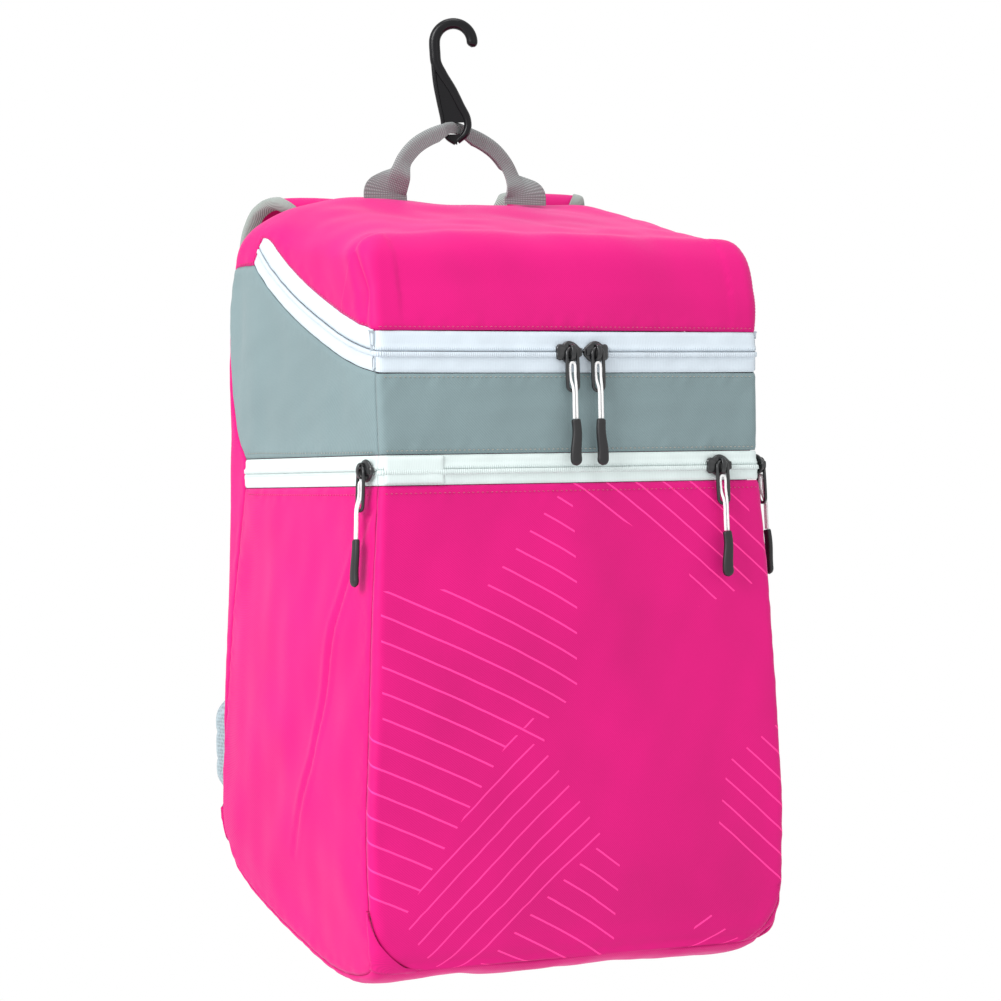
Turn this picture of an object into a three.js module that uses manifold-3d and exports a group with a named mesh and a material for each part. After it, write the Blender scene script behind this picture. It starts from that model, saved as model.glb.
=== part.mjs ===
// Baseball bat backpack with a soft box body, a zipped lid, a front pocket, two side pockets,
// padded shoulder straps and a webbing handle that carries a plastic fence hook.
// Millimetres, +Z up, -Y towards the front panel. The origin is the point where the hook hangs.

import * as THREE from 'three';
import Module from 'manifold-3d';
import { mergeVertices } from 'three/addons/utils/BufferGeometryUtils.js';

// Body
const BODY_WIDTH = 284;          // across the pocket zips
const BODY_DEPTH = 226;          // front panel to back panel
const BODY_HEIGHT = 508;         // base to the crown of the lid
const WALL = 2;                  // coated twill with its foam backing
const GAP = 0.3;                 // clearance between neighbouring pieces
const CROWN_ROLL = 62;           // how far in from the side the lid starts to round over
const CROWN_DROP = 27;           // how far the lid falls in that rounding
const SWELL = 5;                 // how far the full bag pushes a panel out at its middle
const SIDE_SWELL = 6;            // the same for a side panel

// Zips
const MAIN_ZIP_WIDTH = 27;       // both tapes of the lid zip
const POCKET_ZIP_LOW = 315;      // bottom edge of the pocket zips
const POCKET_ZIP_WIDTH = 19.5;
const TAPE = 1.2;                // thickness of a zip tape
const TAPE_INSET = 0.4;          // the tape lies this far under the face of the cloth
const PATCH_LENGTH = 42;         // bare patch over the start of the front zip
const PATCH_THICK = 1;

// Seams
const FRONT_SEAM = 5.4;          // depth of the seam behind the front panel
const BASE_SEAM = 5;             // the base wraps up the side by this much
const BACK_WING = 31;            // the most that the back panel wraps round the side
const FRONT_BOTTOM = 9.5;        // bottom edge of the front panel
const FRONT_CORNER = 38;         // radius of its two lower corners
const BASE_BACK = 99;            // where the base meets the back panel

// Pockets
const POCKET_WALL = 1.5;
const POCKET_ROOM = 24;          // depth of the front and side pockets

// Zip pulls
const SLIDER = { length: 18.5, height: 14, thick: 3 };
const BAIL = { width: 3.2, rise: 4.6, reach: 11, thick: 1.4 };
const RING = { width: 10.5, length: 30, bar: 2.2 };
const PULL_CORD = 1.8;
const GRIP = { width: 8.4, length: 30, thick: 4.6 };
const GRIP_DROP = 17;            // ring's foot to the top of the grip
const MAIN_SLIDER_X = 5;         // the two lid sliders meet nose to nose here
const FRONT_SLIDER_X = 108;
const SIDE_SLIDER_Y = { left: -86, right: -90 };

// Straps and back
const STRAP_THICK = 9;
const STRAP_STAND = 4;           // how far the strap hangs clear of the back
const STRAP_FLOP = 16;           // the right strap has slid this much further out over the lid
const BINDING = { width: 8, thick: 1 };
const WEBBING = { width: 25, thick: 1.8 };
const BUCKLE = { width: 34, length: 26, thick: 5, slot: 6 };
const PAD = { width: 284, tall: 76, thick: 24, corner: 22, edge: 8 };
const PAD_MIDDLE = 0.2756;       // share of BODY_HEIGHT

// Handle and hook
const HANDLE_Y = 56;
const HANDLE_SPAN = 108;         // between the middles of its two feet
const HANDLE_RISE = 55;          // crown of the lid to the top of the handle
const HANDLE_WIDTH = 32;
const HANDLE_THICK = 1.8;
const HANDLE_FOLD = { height: 7, thick: 4 };
const HANDLE_SKEW = { reach: 12, turn: 27 };  // the hook turns the folded middle of the handle
const HOOK_TURN = -29;           // degrees that the hook has turned on the handle
const HOOK_THICK = 7;
const HOOK_ROD = 7.6;
const HOOK_MOUTH = 18;           // across the inside of the curl
const HOOK_SLOT = { width: 12, height: 9.4, shift: 0.6 };
const HOOK_TIP = -16;            // degrees below level where the curl ends
const HOOK_BEVEL = 0.6;
const HOOK_DROP = 62;            // hanging point to the top of the slot

// Side outline of the full bag, once round from the lid's front edge over the top, down the back
// and under the base. Shares: depth of BODY_DEPTH, height of BODY_HEIGHT, roll of CROWN_ROLL,
// drop of CROWN_DROP, swell of SWELL. Right: roll and drop on the bag's right as a share of these.
const OUTLINE = [
  { depth: 0.011, height: 0.811, roll: 0.10, drop: 0.22, swell: 0.5, right: 0.9 },
  { depth: 0.031, height: 0.866, roll: 0.14, drop: 0.30, swell: 0.6, right: 0.9 },
  { depth: 0.071, height: 0.917, roll: 0.20, drop: 0.40, swell: 0.5, right: 0.7 },
  { depth: 0.106, height: 0.933, roll: 0.32, drop: 0.52, swell: 0.4, right: 0.6 },
  { depth: 0.177, height: 0.941, roll: 0.60, drop: 0.72, swell: 0.5, right: 0.6 },
  { depth: 0.354, height: 0.959, roll: 0.85, drop: 0.90, swell: 0.7, right: 0.6 },
  { depth: 0.553, height: 0.980, roll: 1.00, drop: 1.00, swell: 0.6, right: 0.6 },
  { depth: 0.686, height: 0.996, roll: 1.00, drop: 1.00, swell: 0.2, right: 0.6 },
  { depth: 0.761, height: 1.000, roll: 1.00, drop: 1.00, swell: 0.0, right: 0.6 },
  { depth: 0.850, height: 0.990, roll: 0.90, drop: 0.90, swell: 0.0, right: 0.6 },
  { depth: 0.920, height: 0.961, roll: 0.70, drop: 0.75, swell: 0.0, right: 0.6 },
  { depth: 0.965, height: 0.917, roll: 0.40, drop: 0.55, swell: 0.2, right: 0.7 },
  { depth: 0.987, height: 0.866, roll: 0.22, drop: 0.42, swell: 0.3, right: 1.0 },
  { depth: 1.000, height: 0.797, roll: 0.16, drop: 0.37, swell: 0.4, right: 1.0 },
  { depth: 1.000, height: 0.657, roll: 0.16, drop: 0.37, swell: 0.4, right: 1.0 },
  { depth: 1.000, height: 0.472, roll: 0.16, drop: 0.37, swell: 0.4, right: 1.0 },
  { depth: 1.000, height: 0.295, roll: 0.16, drop: 0.37, swell: 0.3, right: 1.0 },
  { depth: 0.998, height: 0.207, roll: 0.20, drop: 0.40, swell: 0.1, right: 1.6 },
  { depth: 0.982, height: 0.173, roll: 0.18, drop: 0.32, swell: 0.0, right: 2.0 },
  { depth: 0.947, height: 0.142, roll: 0.18, drop: 0.32, swell: 0.0, right: 2.0 },
  { depth: 0.894, height: 0.116, roll: 0.14, drop: 0.24, swell: 0.0, right: 3.4 },
  { depth: 0.823, height: 0.095, roll: 0.14, drop: 0.24, swell: 0.2, right: 3.4 },
  { depth: 0.717, height: 0.073, roll: 0.14, drop: 0.24, swell: 0.4, right: 3.4 },
  { depth: 0.597, height: 0.051, roll: 0.14, drop: 0.24, swell: 0.5, right: 3.4 },
  { depth: 0.465, height: 0.030, roll: 0.14, drop: 0.24, swell: 0.5, right: 3.4 },
  { depth: 0.319, height: 0.009, roll: 0.14, drop: 0.24, swell: 0.3, right: 3.4 },
  { depth: 0.186, height: 0.000, roll: 0.14, drop: 0.24, swell: 0.0, right: 3.4 },
  { depth: 0.088, height: 0.003, roll: 0.14, drop: 0.24, swell: 0.0, right: 3.4 },
  { depth: 0.035, height: 0.011, roll: 0.14, drop: 0.24, swell: 0.0, right: 3.4 },
  { depth: 0.004, height: 0.028, roll: 0.22, drop: 0.24, swell: 0.1, right: 2.2 },
  { depth: -0.002, height: 0.059, roll: 0.18, drop: 0.20, swell: 0.3, right: 1.0 },
  { depth: -0.011, height: 0.157, roll: 0.08, drop: 0.19, swell: 0.8, right: 1.0 },
  { depth: -0.018, height: 0.295, roll: 0.08, drop: 0.19, swell: 1.0, right: 1.0 },
  { depth: -0.015, height: 0.433, roll: 0.08, drop: 0.19, swell: 1.0, right: 1.0 },
  { depth: -0.007, height: 0.551, roll: 0.08, drop: 0.19, swell: 0.7, right: 1.0 },
  { depth: 0.000, height: 0.620, roll: 0.08, drop: 0.19, swell: 0.4, right: 1.0 },
  { depth: 0.002, height: 0.657, roll: 0.08, drop: 0.19, swell: 0.4, right: 1.0 },
  { depth: 0.004, height: 0.709, roll: 0.08, drop: 0.19, swell: 0.5, right: 1.0 },
  { depth: 0.007, height: 0.758, roll: 0.08, drop: 0.19, swell: 0.5, right: 1.0 },
];

// Front outline: half width as a share of BODY_WIDTH at a share of BODY_HEIGHT
const GIRTH = [
  { height: -0.01, half: 0.526 },
  { height: 0.06, half: 0.536 },
  { height: 0.18, half: 0.543 },
  { height: 0.30, half: 0.533 },
  { height: 0.40, half: 0.524 },
  { height: 0.47, half: 0.518 },
  { height: 0.55, half: 0.508 },
  { height: 0.62, half: 0.500 },
  { height: 0.66, half: 0.497 },
  { height: 0.72, half: 0.500 },
  { height: 0.79, half: 0.502 },
  { height: 0.87, half: 0.505 },
  { height: 0.93, half: 0.505 },
  { height: 1.01, half: 0.500 },
];

// Middle line of the lid zip, from the front round the side: shares of BODY_DEPTH and BODY_HEIGHT
const LID_ZIP = [
  { depth: -0.15, height: 0.786 },
  { depth: 0.00, height: 0.786 },
  { depth: 0.08, height: 0.793 },
  { depth: 0.19, height: 0.808 },
  { depth: 0.32, height: 0.830 },
  { depth: 0.46, height: 0.857 },
  { depth: 0.60, height: 0.890 },
  { depth: 0.69, height: 0.916 },
  { depth: 0.741, height: 0.934 },
];

// Back seam: how far the back panel wraps round the side, share of BACK_WING, at a share of
// BODY_HEIGHT
const BACK_SEAM = [
  { height: 0.195, wrap: 0.13 },
  { height: 0.235, wrap: 0.15 },
  { height: 0.310, wrap: 0.29 },
  { height: 0.370, wrap: 0.40 },
  { height: 0.463, wrap: 0.58 },
  { height: 0.524, wrap: 0.74 },
  { height: 0.585, wrap: 0.90 },
  { height: 0.620, wrap: 1.00 },
  { height: 0.658, wrap: 1.00 },
  { height: 0.680, wrap: 0.65 },
  { height: 0.718, wrap: 0.42 },
  { height: 0.778, wrap: 0.25 },
  { height: 0.846, wrap: 0.19 },
  { height: 0.925, wrap: 0.17 },
];

// Shoulder strap from its seam behind the lid to its tip. Shares: inner and outer edge of
// BODY_WIDTH from the middle, behind of BODY_DEPTH from the front, height of BODY_HEIGHT,
// flop of STRAP_FLOP.
const STRAP = [
  { inner: 0.125, outer: 0.335, behind: 0.876, height: 0.974, flop: 1 },
  { inner: 0.148, outer: 0.382, behind: 0.885, height: 0.992, flop: 1 },
  { inner: 0.168, outer: 0.408, behind: 0.912, height: 1.000, flop: 1 },
  { inner: 0.180, outer: 0.426, behind: 0.955, height: 0.992, flop: 0.9 },
  { inner: 0.186, outer: 0.436, behind: 0.995, height: 0.970, flop: 0.8 },
  { inner: 0.188, outer: 0.440, behind: 1.026, height: 0.932, flop: 0.7 },
  { inner: 0.188, outer: 0.438, behind: 1.041, height: 0.860, flop: 0.5 },
  { inner: 0.186, outer: 0.432, behind: 1.044, height: 0.730, flop: 0.2 },
  { inner: 0.186, outer: 0.424, behind: 1.044, height: 0.600, flop: 0.05 },
  { inner: 0.208, outer: 0.414, behind: 1.044, height: 0.490, flop: 0 },
  { inner: 0.262, outer: 0.398, behind: 1.044, height: 0.440, flop: 0 },
];

// Lower strap webbing from the strap's tip over the back pad to the base. Across is a share of
// BODY_WIDTH. Out runs from 0 at the back panel to 1 on the pad's face. Up is -1 at the base seam, 0
// at the pad's lower edge, 1 at its upper edge and 2 at the strap's tip.
const WEB_ROUTE = [
  { across: 0.330, out: 0.56, up: 2.00 },
  { across: 0.332, out: 0.56, up: 1.56 },
  { across: 0.336, out: 0.58, up: 1.18 },
  { across: 0.345, out: 1.02, up: 0.91 },
  { across: 0.365, out: 1.04, up: 0.60 },
  { across: 0.390, out: 1.04, up: 0.10 },
  { across: 0.400, out: 0.93, up: -0.08 },
  { across: 0.412, out: 0.33, up: -0.50 },
  { across: 0.425, out: -0.83, up: -1.00 },
];
const WEB_END = 0.125;           // where the webbing meets the base seam, share of BODY_HEIGHT

// Half of the handle from its foot to the hook. Shares: across of HANDLE_SPAN / 2, rise of
// HANDLE_RISE, fold from 0, flat webbing, to 1, folded in two.
const HANDLE = [
  { across: 1.00, rise: 0.000, fold: 0.00 },
  { across: 1.00, rise: 0.140, fold: 0.00 },
  { across: 0.965, rise: 0.270, fold: 0.22 },
  { across: 0.915, rise: 0.400, fold: 0.85 },
  { across: 0.82, rise: 0.560, fold: 1.00 },
  { across: 0.66, rise: 0.745, fold: 1.00 },
  { across: 0.44, rise: 0.885, fold: 1.00 },
  { across: 0.20, rise: 0.970, fold: 1.00 },
  { across: 0.06, rise: 1.000, fold: 1.00 },
];

const COLOURS = {
  pink: 0xe91e82, greyTwill: 0x9fb3bb, tape: 0xeef4fb, webbing: 0x9a9a97,
  binding: 0xb9bdb9, hardware: 0x15161a, cord: 0xf4f4f2, mesh: 0xaabfc8,
};

const wasm = await Module();
wasm.setup();
const FRONT = -100;                            // Y of the front outline
const BACK = FRONT + BODY_DEPTH;
const POCKET_ZIP_HIGH = POCKET_ZIP_LOW + POCKET_ZIP_WIDTH;
const FRONT_CUT = FRONT + FRONT_SEAM;
const HALF_GAP = GAP / 2;
const FAR = 800;                               // beyond the bag on every side
const HANG = new THREE.Vector3(0, HANDLE_Y, BODY_HEIGHT + HANDLE_RISE + HOOK_DROP);

const vec = (x, y, z) => new THREE.Vector3(x, y, z);

// Solids and cuts

function toManifold(geometry) {
  const bare = geometry.clone();
  for (const name of ['normal', 'uv']) bare.deleteAttribute(name);
  const merged = mergeVertices(bare, 1e-5);
  return new wasm.Manifold(new wasm.Mesh({
    numProp: 3,
    vertProperties: new Float32Array(merged.attributes.position.array),
    triVerts: new Uint32Array(merged.index.array),
  }));
}

function toGeometry(solid) {
  const mesh = solid.getMesh();
  const geometry = new THREE.BufferGeometry();
  geometry.setAttribute('position', new THREE.BufferAttribute(mesh.vertProperties, 3));
  geometry.setIndex(new THREE.BufferAttribute(mesh.triVerts, 1));
  return geometry;
}

// A closed skin through rings of points that all have the same number of points
function loft(rings) {
  const around = rings[0].length;
  const places = rings.flat();
  const index = [];
  for (let r = 0; r + 1 < rings.length; r++) {
    for (let i = 0; i < around; i++) {
      const j = (i + 1) % around;
      const a = r * around + i;
      const b = r * around + j;
      index.push(a, b, b + around, a, b + around, a + around);
    }
  }
  for (const last of [false, true]) {
    const ring = last ? rings.at(-1) : rings[0];
    const first = last ? (rings.length - 1) * around : 0;
    const middle = ring.reduce((sum, p) => sum.add(p), vec(0, 0, 0)).divideScalar(around);
    places.push(middle);
    for (let i = 0; i < around; i++) {
      const pair = [first + i, first + (i + 1) % around];
      if (!last) pair.reverse();
      index.push(pair[0], pair[1], places.length - 1);
    }
  }
  const geometry = new THREE.BufferGeometry().setFromPoints(places);
  geometry.setIndex(index);
  if (volumeOf(geometry) < 0) geometry.setIndex(index.reverse());
  return geometry;
}

function volumeOf(geometry) {
  const corner = [vec(0, 0, 0), vec(0, 0, 0), vec(0, 0, 0)];
  let volume = 0;
  for (let i = 0; i < geometry.index.count; i += 3) {
    corner.forEach((c, k) => c.fromBufferAttribute(geometry.attributes.position,
      geometry.index.getX(i + k)));
    volume += corner[0].dot(corner[1].clone().cross(corner[2])) / 6;
  }
  return volume;
}

// A smooth line through table rows, sampled at a share of its length of rows
function smooth(points, closed = false) {
  return new THREE.CatmullRomCurve3(points, closed, 'centripetal');
}

// A value read from a table by one of its columns
function lookUp(table, by, column, value) {
  const next = table.findIndex((row) => row[by] >= value);
  if (next <= 0) return (next < 0 ? table.at(-1) : table[0])[column];
  const [low, high] = [table[next - 1], table[next]];
  const share = (value - low[by]) / (high[by] - low[by]);
  return low[column] + (high[column] - low[column]) * share;
}

const halfWidth = (z) => BODY_WIDTH * lookUp(GIRTH, 'height', 'half', z / BODY_HEIGHT);

// Side outline as stations with an outward normal
const STATIONS = (() => {
  const points = OUTLINE.map((row) => vec(0, FRONT + row.depth * BODY_DEPTH,
    row.height * BODY_HEIGHT));
  const line = smooth(points, true);
  return OUTLINE.map((row, i) => {
    const tangent = line.getTangent(i / OUTLINE.length);
    return { ...row, at: points[i], out: vec(0, -tangent.z, tangent.y).normalize() };
  });
})();
const MIDDLE = vec(0, FRONT + BODY_DEPTH * 0.52, BODY_HEIGHT * 0.48);

// The full bag as one solid, its skin moved in by an inset. Rings run from the left side's middle
// to the right side's middle: scaled rings on the side, a roll round the edge, then across.
function bagSolid(inset) {
  const sideSteps = [0.4, 0.8];
  const rollSteps = [90, 58, 26];
  const flatSteps = [0.96, 0.5];
  const ringAt = (sign, kind, value) => STATIONS.map((s) => {
    const share = sign > 0 ? s.right : 1;
    const roll = Math.max(s.roll * share * CROWN_ROLL - inset, 1);
    const drop = Math.max(s.drop * share * CROWN_DROP - inset, 1);
    if (kind === 'flat') {
      const lift = s.swell * SWELL * (1 - value * value);
      const point = s.at.clone().addScaledVector(s.out, lift - inset);
      return point.setX(sign * value * (halfWidth(point.z) - inset - roll));
    }
    const turn = THREE.MathUtils.degToRad(kind === 'roll' ? value : 90);
    const point = s.at.clone().addScaledVector(s.out, -inset - drop * (1 - Math.cos(turn)));
    if (kind === 'side') point.lerp(MIDDLE, 1 - value);
    const out = kind === 'side' ? SIDE_SWELL * (1 - value ** 2) : roll * (Math.sin(turn) - 1);
    return point.setX(sign * (halfWidth(point.z) - inset + out));
  });
  const half = (sign) => [
    ...sideSteps.map((v) => ringAt(sign, 'side', v)),
    ...rollSteps.map((v) => ringAt(sign, 'roll', v)),
    ...flatSteps.map((v) => ringAt(sign, 'flat', v)),
  ];
  return toManifold(loft([...half(-1), ringAt(1, 'flat', 0), ...half(1).reverse()]));
}

const SOLIDS = new Map();
function bag(inset) {
  if (!SOLIDS.has(inset)) SOLIDS.set(inset, bagSolid(inset));
  return SOLIDS.get(inset);
}
const layer = (outer, inner) => bag(outer).subtract(bag(inner));

// Prisms through the whole bag: one drawn from the side (Y, Z), one from the front (X, Z)
function sidePrism(points, low = -FAR, high = FAR) {
  const shape = new THREE.Shape(points.map(([y, z]) => new THREE.Vector2(y, z)));
  const geometry = new THREE.ExtrudeGeometry(shape, { depth: high - low, bevelEnabled: false });
  geometry.applyMatrix4(new THREE.Matrix4().makeBasis(vec(0, 1, 0), vec(0, 0, 1), vec(1, 0, 0)));
  return toManifold(geometry.translate(low, 0, 0));
}

function frontPrism(points, low = -FAR, high = FAR) {
  const shape = new THREE.Shape(points.map(([x, z]) => new THREE.Vector2(x, z)));
  const geometry = new THREE.ExtrudeGeometry(shape, { depth: high - low, bevelEnabled: false });
  geometry.applyMatrix4(new THREE.Matrix4().makeBasis(vec(1, 0, 0), vec(0, 0, 1), vec(0, -1, 0)));
  return toManifold(geometry.translate(0, high, 0));
}

const boxPoints = (low, high) => [[low[0], low[1]], [high[0], low[1]], [high[0], high[1]],
  [low[0], high[1]]];

// Seam lines, each as points (Y, Z)

const zipLine = smooth(LID_ZIP.map((row) => vec(0, FRONT + row.depth * BODY_DEPTH,
  row.height * BODY_HEIGHT)));
const ZIP_STEPS = 11;

function besideZip(offset) {
  return Array.from({ length: ZIP_STEPS + 1 }, (_, i) => {
    const point = zipLine.getPoint(i / ZIP_STEPS);
    const tangent = zipLine.getTangent(i / ZIP_STEPS);
    return [point.y - tangent.z * offset, point.z + tangent.y * offset];
  });
}

const backAt = (z) => {
  const rows = STATIONS.slice(9, 18).reverse().map((s) => ({ z: s.at.z, y: s.at.y }));
  return lookUp(rows, 'z', 'y', z);
};
const backSeam = (offset) => BACK_SEAM.map((row) => {
  const z = row.height * BODY_HEIGHT;
  return [backAt(z) - row.wrap * BACK_WING + offset, z];
});
const baseSeam = (offset) => STATIONS.slice(18, 30).map((s) => {
  const point = s.at.clone().addScaledVector(s.out, -BASE_SEAM - offset);
  return [point.y, point.z];
});

// Front panel's outline with two round lower corners, drawn from the front
function frontOutline(grow) {
  const reach = halfWidth(FRONT_BOTTOM + FRONT_CORNER) - FRONT_CORNER;
  const radius = FRONT_CORNER + grow;
  const corner = (sign) => [0, 18, 36, 54, 72, 90].map((turn) => {
    const angle = THREE.MathUtils.degToRad(turn);
    return [sign * (reach + radius * Math.sin(angle)),
      FRONT_BOTTOM + FRONT_CORNER - radius * Math.cos(angle)];
  });
  return [...corner(1), [FAR, FRONT_BOTTOM + FRONT_CORNER + 1], [FAR, POCKET_ZIP_LOW + grow],
    [-FAR, POCKET_ZIP_LOW + grow], [-FAR, FRONT_BOTTOM + FRONT_CORNER + 1],
    ...corner(-1).reverse()];
}

// Regions of the skin

const REACH = BACK + BODY_DEPTH;
const lidEnd = besideZip(0).at(-1);
const lidLine = besideZip(MAIN_ZIP_WIDTH / 2 + HALF_GAP);
const bandLine = besideZip(-MAIN_ZIP_WIDTH / 2 - HALF_GAP);
const [bandEnd, lidBack] = bandLine.at(-1);      // the lid meets the back panel at this height
const endShift = [GAP * 0.8, GAP * 0.6];
const shifted = ([y, z]) => [y + endShift[0], z + endShift[1]];

const regions = {
  lid: sidePrism([...lidLine, shifted(lidLine.at(-1)), shifted(lidEnd),
    [bandEnd + GAP, lidBack + GAP], [REACH, lidBack + GAP], [REACH, FAR * 2], [-FAR, FAR * 2]]),
  aboveFront: (y) => sidePrism([[-FAR, POCKET_ZIP_HIGH + HALF_GAP], [y, POCKET_ZIP_HIGH + HALF_GAP],
    [y, FAR * 2], [-FAR, FAR * 2]]),
  belowLidZip: sidePrism([...bandLine, [REACH, lidBack], [REACH, -FAR], [-FAR, -FAR]]),
  side: (grow) => sidePrism([[FRONT_CUT - grow, POCKET_ZIP_LOW + grow],
    ...baseSeam(-grow).reverse().filter(([y]) => y > FRONT_CUT - grow),
    ...backSeam(grow).filter(([, z]) => z < POCKET_ZIP_LOW),
    [backAt(POCKET_ZIP_LOW) - BACK_WING + grow, POCKET_ZIP_LOW + grow]]),
  back: sidePrism([...backSeam(HALF_GAP).filter(([, z]) => z > BASE_BACK && z < lidBack),
    [backAt(lidBack) - BACK_SEAM.at(-1).wrap * BACK_WING + HALF_GAP, lidBack],
    [REACH, lidBack], [REACH, BASE_BACK + HALF_GAP],
    [backSeam(HALF_GAP)[0][0], BASE_BACK + HALF_GAP]]),
  front: (grow) => frontPrism(frontOutline(grow), -FAR, FRONT_CUT + grow),
};

const leftOf = frontPrism(boxPoints([-FAR, -FAR], [0, FAR * 2]));
const rightOf = frontPrism(boxPoints([0, -FAR], [FAR, FAR * 2]));
const skin = layer(0, WALL);

const pieces = new THREE.Group();
pieces.position.copy(HANG).negate();

function add(name, shape, colour, finish = {}) {
  const geometry = shape.isBufferGeometry ? shape : toGeometry(shape);
  const material = new THREE.MeshStandardMaterial({ color: colour, roughness: 0.85, ...finish });
  const mesh = new THREE.Mesh(geometry, material);
  mesh.name = name;
  pieces.add(mesh);
  return mesh;
}

function addSides(name, solid, colour) {
  add(`${name}_left`, solid.intersect(leftOf), colour);
  add(`${name}_right`, solid.intersect(rightOf), colour);
}

// Cloth panels

function addPanels() {
  add('lid', skin.intersect(regions.lid), COLOURS.pink);
  add('front_panel', skin.intersect(regions.front(-HALF_GAP)), COLOURS.pink);
  addSides('side_panel', skin.intersect(regions.side(-HALF_GAP)), COLOURS.pink);
  add('back_panel', skin.intersect(regions.back), COLOURS.pink);
  const low = sidePrism(boxPoints([-FAR, -FAR], [REACH, BASE_BACK - HALF_GAP]));
  add('base_panel', skin.intersect(low).subtract(regions.side(HALF_GAP))
    .subtract(regions.front(HALF_GAP)), COLOURS.pink);
  const band = skin.intersect(regions.belowLidZip).subtract(sidePrism(
    boxPoints([-FAR, -FAR], [REACH, POCKET_ZIP_HIGH + HALF_GAP])));
  add('band_front', band.intersect(regions.aboveFront(FRONT_CUT - HALF_GAP)), COLOURS.greyTwill);
  const behind = backSeam(-HALF_GAP).filter(([, z]) => z > POCKET_ZIP_HIGH);
  const sides = sidePrism([[FRONT_CUT + HALF_GAP, POCKET_ZIP_HIGH],
    [BACK - BACK_WING - HALF_GAP, POCKET_ZIP_HIGH], ...behind,
    [behind.at(-1)[0], FAR * 2], [FRONT_CUT + HALF_GAP, FAR * 2]]);
  addSides('band', band.intersect(sides), COLOURS.greyTwill);
}

// Zips: an upper and a lower tape, each with its own half of the coil, that meet at the slit

function addZip(name, cuts, sided) {
  const put = sided ? addSides : add;
  const tape = layer(TAPE_INSET, TAPE_INSET + TAPE);
  put(`${name}_tape_upper`, tape.intersect(cuts.upper), COLOURS.tape);
  put(`${name}_tape_lower`, tape.intersect(cuts.lower), COLOURS.tape);
}

function addZips() {
  const strip = (from, to) => sidePrism([...besideZip(from), ...besideZip(to).reverse()]);
  const edge = MAIN_ZIP_WIDTH / 2 - HALF_GAP;
  addZip('lid_zip', {
    upper: strip(HALF_GAP, edge),
    lower: strip(-edge, -HALF_GAP),
  }, false);
  const slit = (POCKET_ZIP_LOW + POCKET_ZIP_HIGH) / 2;
  const cutsFor = (from, to) => {
    const cut = (low, high) => sidePrism(boxPoints([from, low], [to, high]));
    return {
      upper: cut(slit + HALF_GAP, POCKET_ZIP_HIGH - HALF_GAP),
      lower: cut(POCKET_ZIP_LOW + HALF_GAP, slit - HALF_GAP),
    };
  };
  addZip('front_zip', cutsFor(-FAR, FRONT_CUT - HALF_GAP), false);
  addZip('side_zip', cutsFor(FRONT_CUT + HALF_GAP, BACK - BACK_WING - HALF_GAP), true);
  const start = -halfWidth(slit) + FRONT_SEAM / 2;
  const patch = frontPrism(boxPoints([start, POCKET_ZIP_LOW + 1],
    [start + PATCH_LENGTH, POCKET_ZIP_HIGH - 1]), -FAR, FRONT_CUT);
  add('front_zip_patch', layer(TAPE_INSET - GAP - PATCH_THICK, TAPE_INSET - GAP)
    .intersect(patch), COLOURS.tape);
}

// Inner walls that make the front and side pockets

function addPocketWalls() {
  const room = bag(WALL + GAP);
  const top = POCKET_ZIP_HIGH + POCKET_ROOM;
  const depth = FRONT + POCKET_ROOM;
  add('front_pocket_wall', room.intersect(sidePrism([[FRONT, top], [FRONT + POCKET_WALL, top],
    [depth + POCKET_WALL, POCKET_ZIP_LOW - POCKET_ROOM], [depth + POCKET_WALL, -FAR],
    [depth, -FAR], [depth, POCKET_ZIP_LOW - POCKET_ROOM]])), COLOURS.pink);
  const width = halfWidth(top);
  const inner = width - POCKET_ROOM;
  const start = depth + POCKET_WALL + GAP;
  for (const [side, sign] of [['left', -1], ['right', 1]]) {
    const drawn = [[width + POCKET_WALL, top], [width, top], [inner, POCKET_ZIP_LOW - POCKET_ROOM],
      [inner, -FAR], [inner + POCKET_WALL, -FAR],
      [inner + POCKET_WALL, POCKET_ZIP_LOW - POCKET_ROOM]].map(([x, z]) => [sign * x, z]);
    add(`side_pocket_wall_${side}`, room.intersect(frontPrism(sign > 0 ? drawn.reverse() : drawn,
      start, FAR)), COLOURS.pink);
  }
}

// Zip pulls, drawn facing -Y at the slider's middle and turned to the face that they sit on

function stadium(width, length, top) {
  const radius = width / 2;
  const shape = new THREE.Shape();
  shape.absarc(0, top - radius, radius, 0, Math.PI, false);
  shape.absarc(0, top - length + radius, radius, Math.PI, Math.PI * 2, false);
  return shape;
}

// A flat shape drawn in X and Z, from one Y to another
function plate(shape, near, far, curveSegments = 5, bevel = 0) {
  const geometry = new THREE.ExtrudeGeometry(shape, {
    depth: far - near - bevel * 2, curveSegments,
    bevelEnabled: bevel > 0, bevelThickness: bevel, bevelSize: bevel, bevelOffset: -bevel,
    bevelSegments: 1,
  });
  geometry.rotateX(Math.PI / 2);
  return geometry.translate(0, far - bevel, 0);
}

function sliderShape(nose) {
  const { length, height } = SLIDER;
  const rows = [[-0.5, -0.30], [-0.36, -0.5], [0.10, -0.5], [0.5, -0.24], [0.5, 0.24],
    [0.10, 0.5], [-0.36, 0.5], [-0.5, 0.30]];
  const points = rows.map(([x, z]) => new THREE.Vector2(nose * x * length, z * height));
  return new THREE.Shape(nose < 0 ? points.reverse() : points);
}

const RING_TOP = BAIL.reach / 2 - BAIL.thick - GAP;
const ringY = -(SLIDER.thick + GAP + RING.bar);

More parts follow.
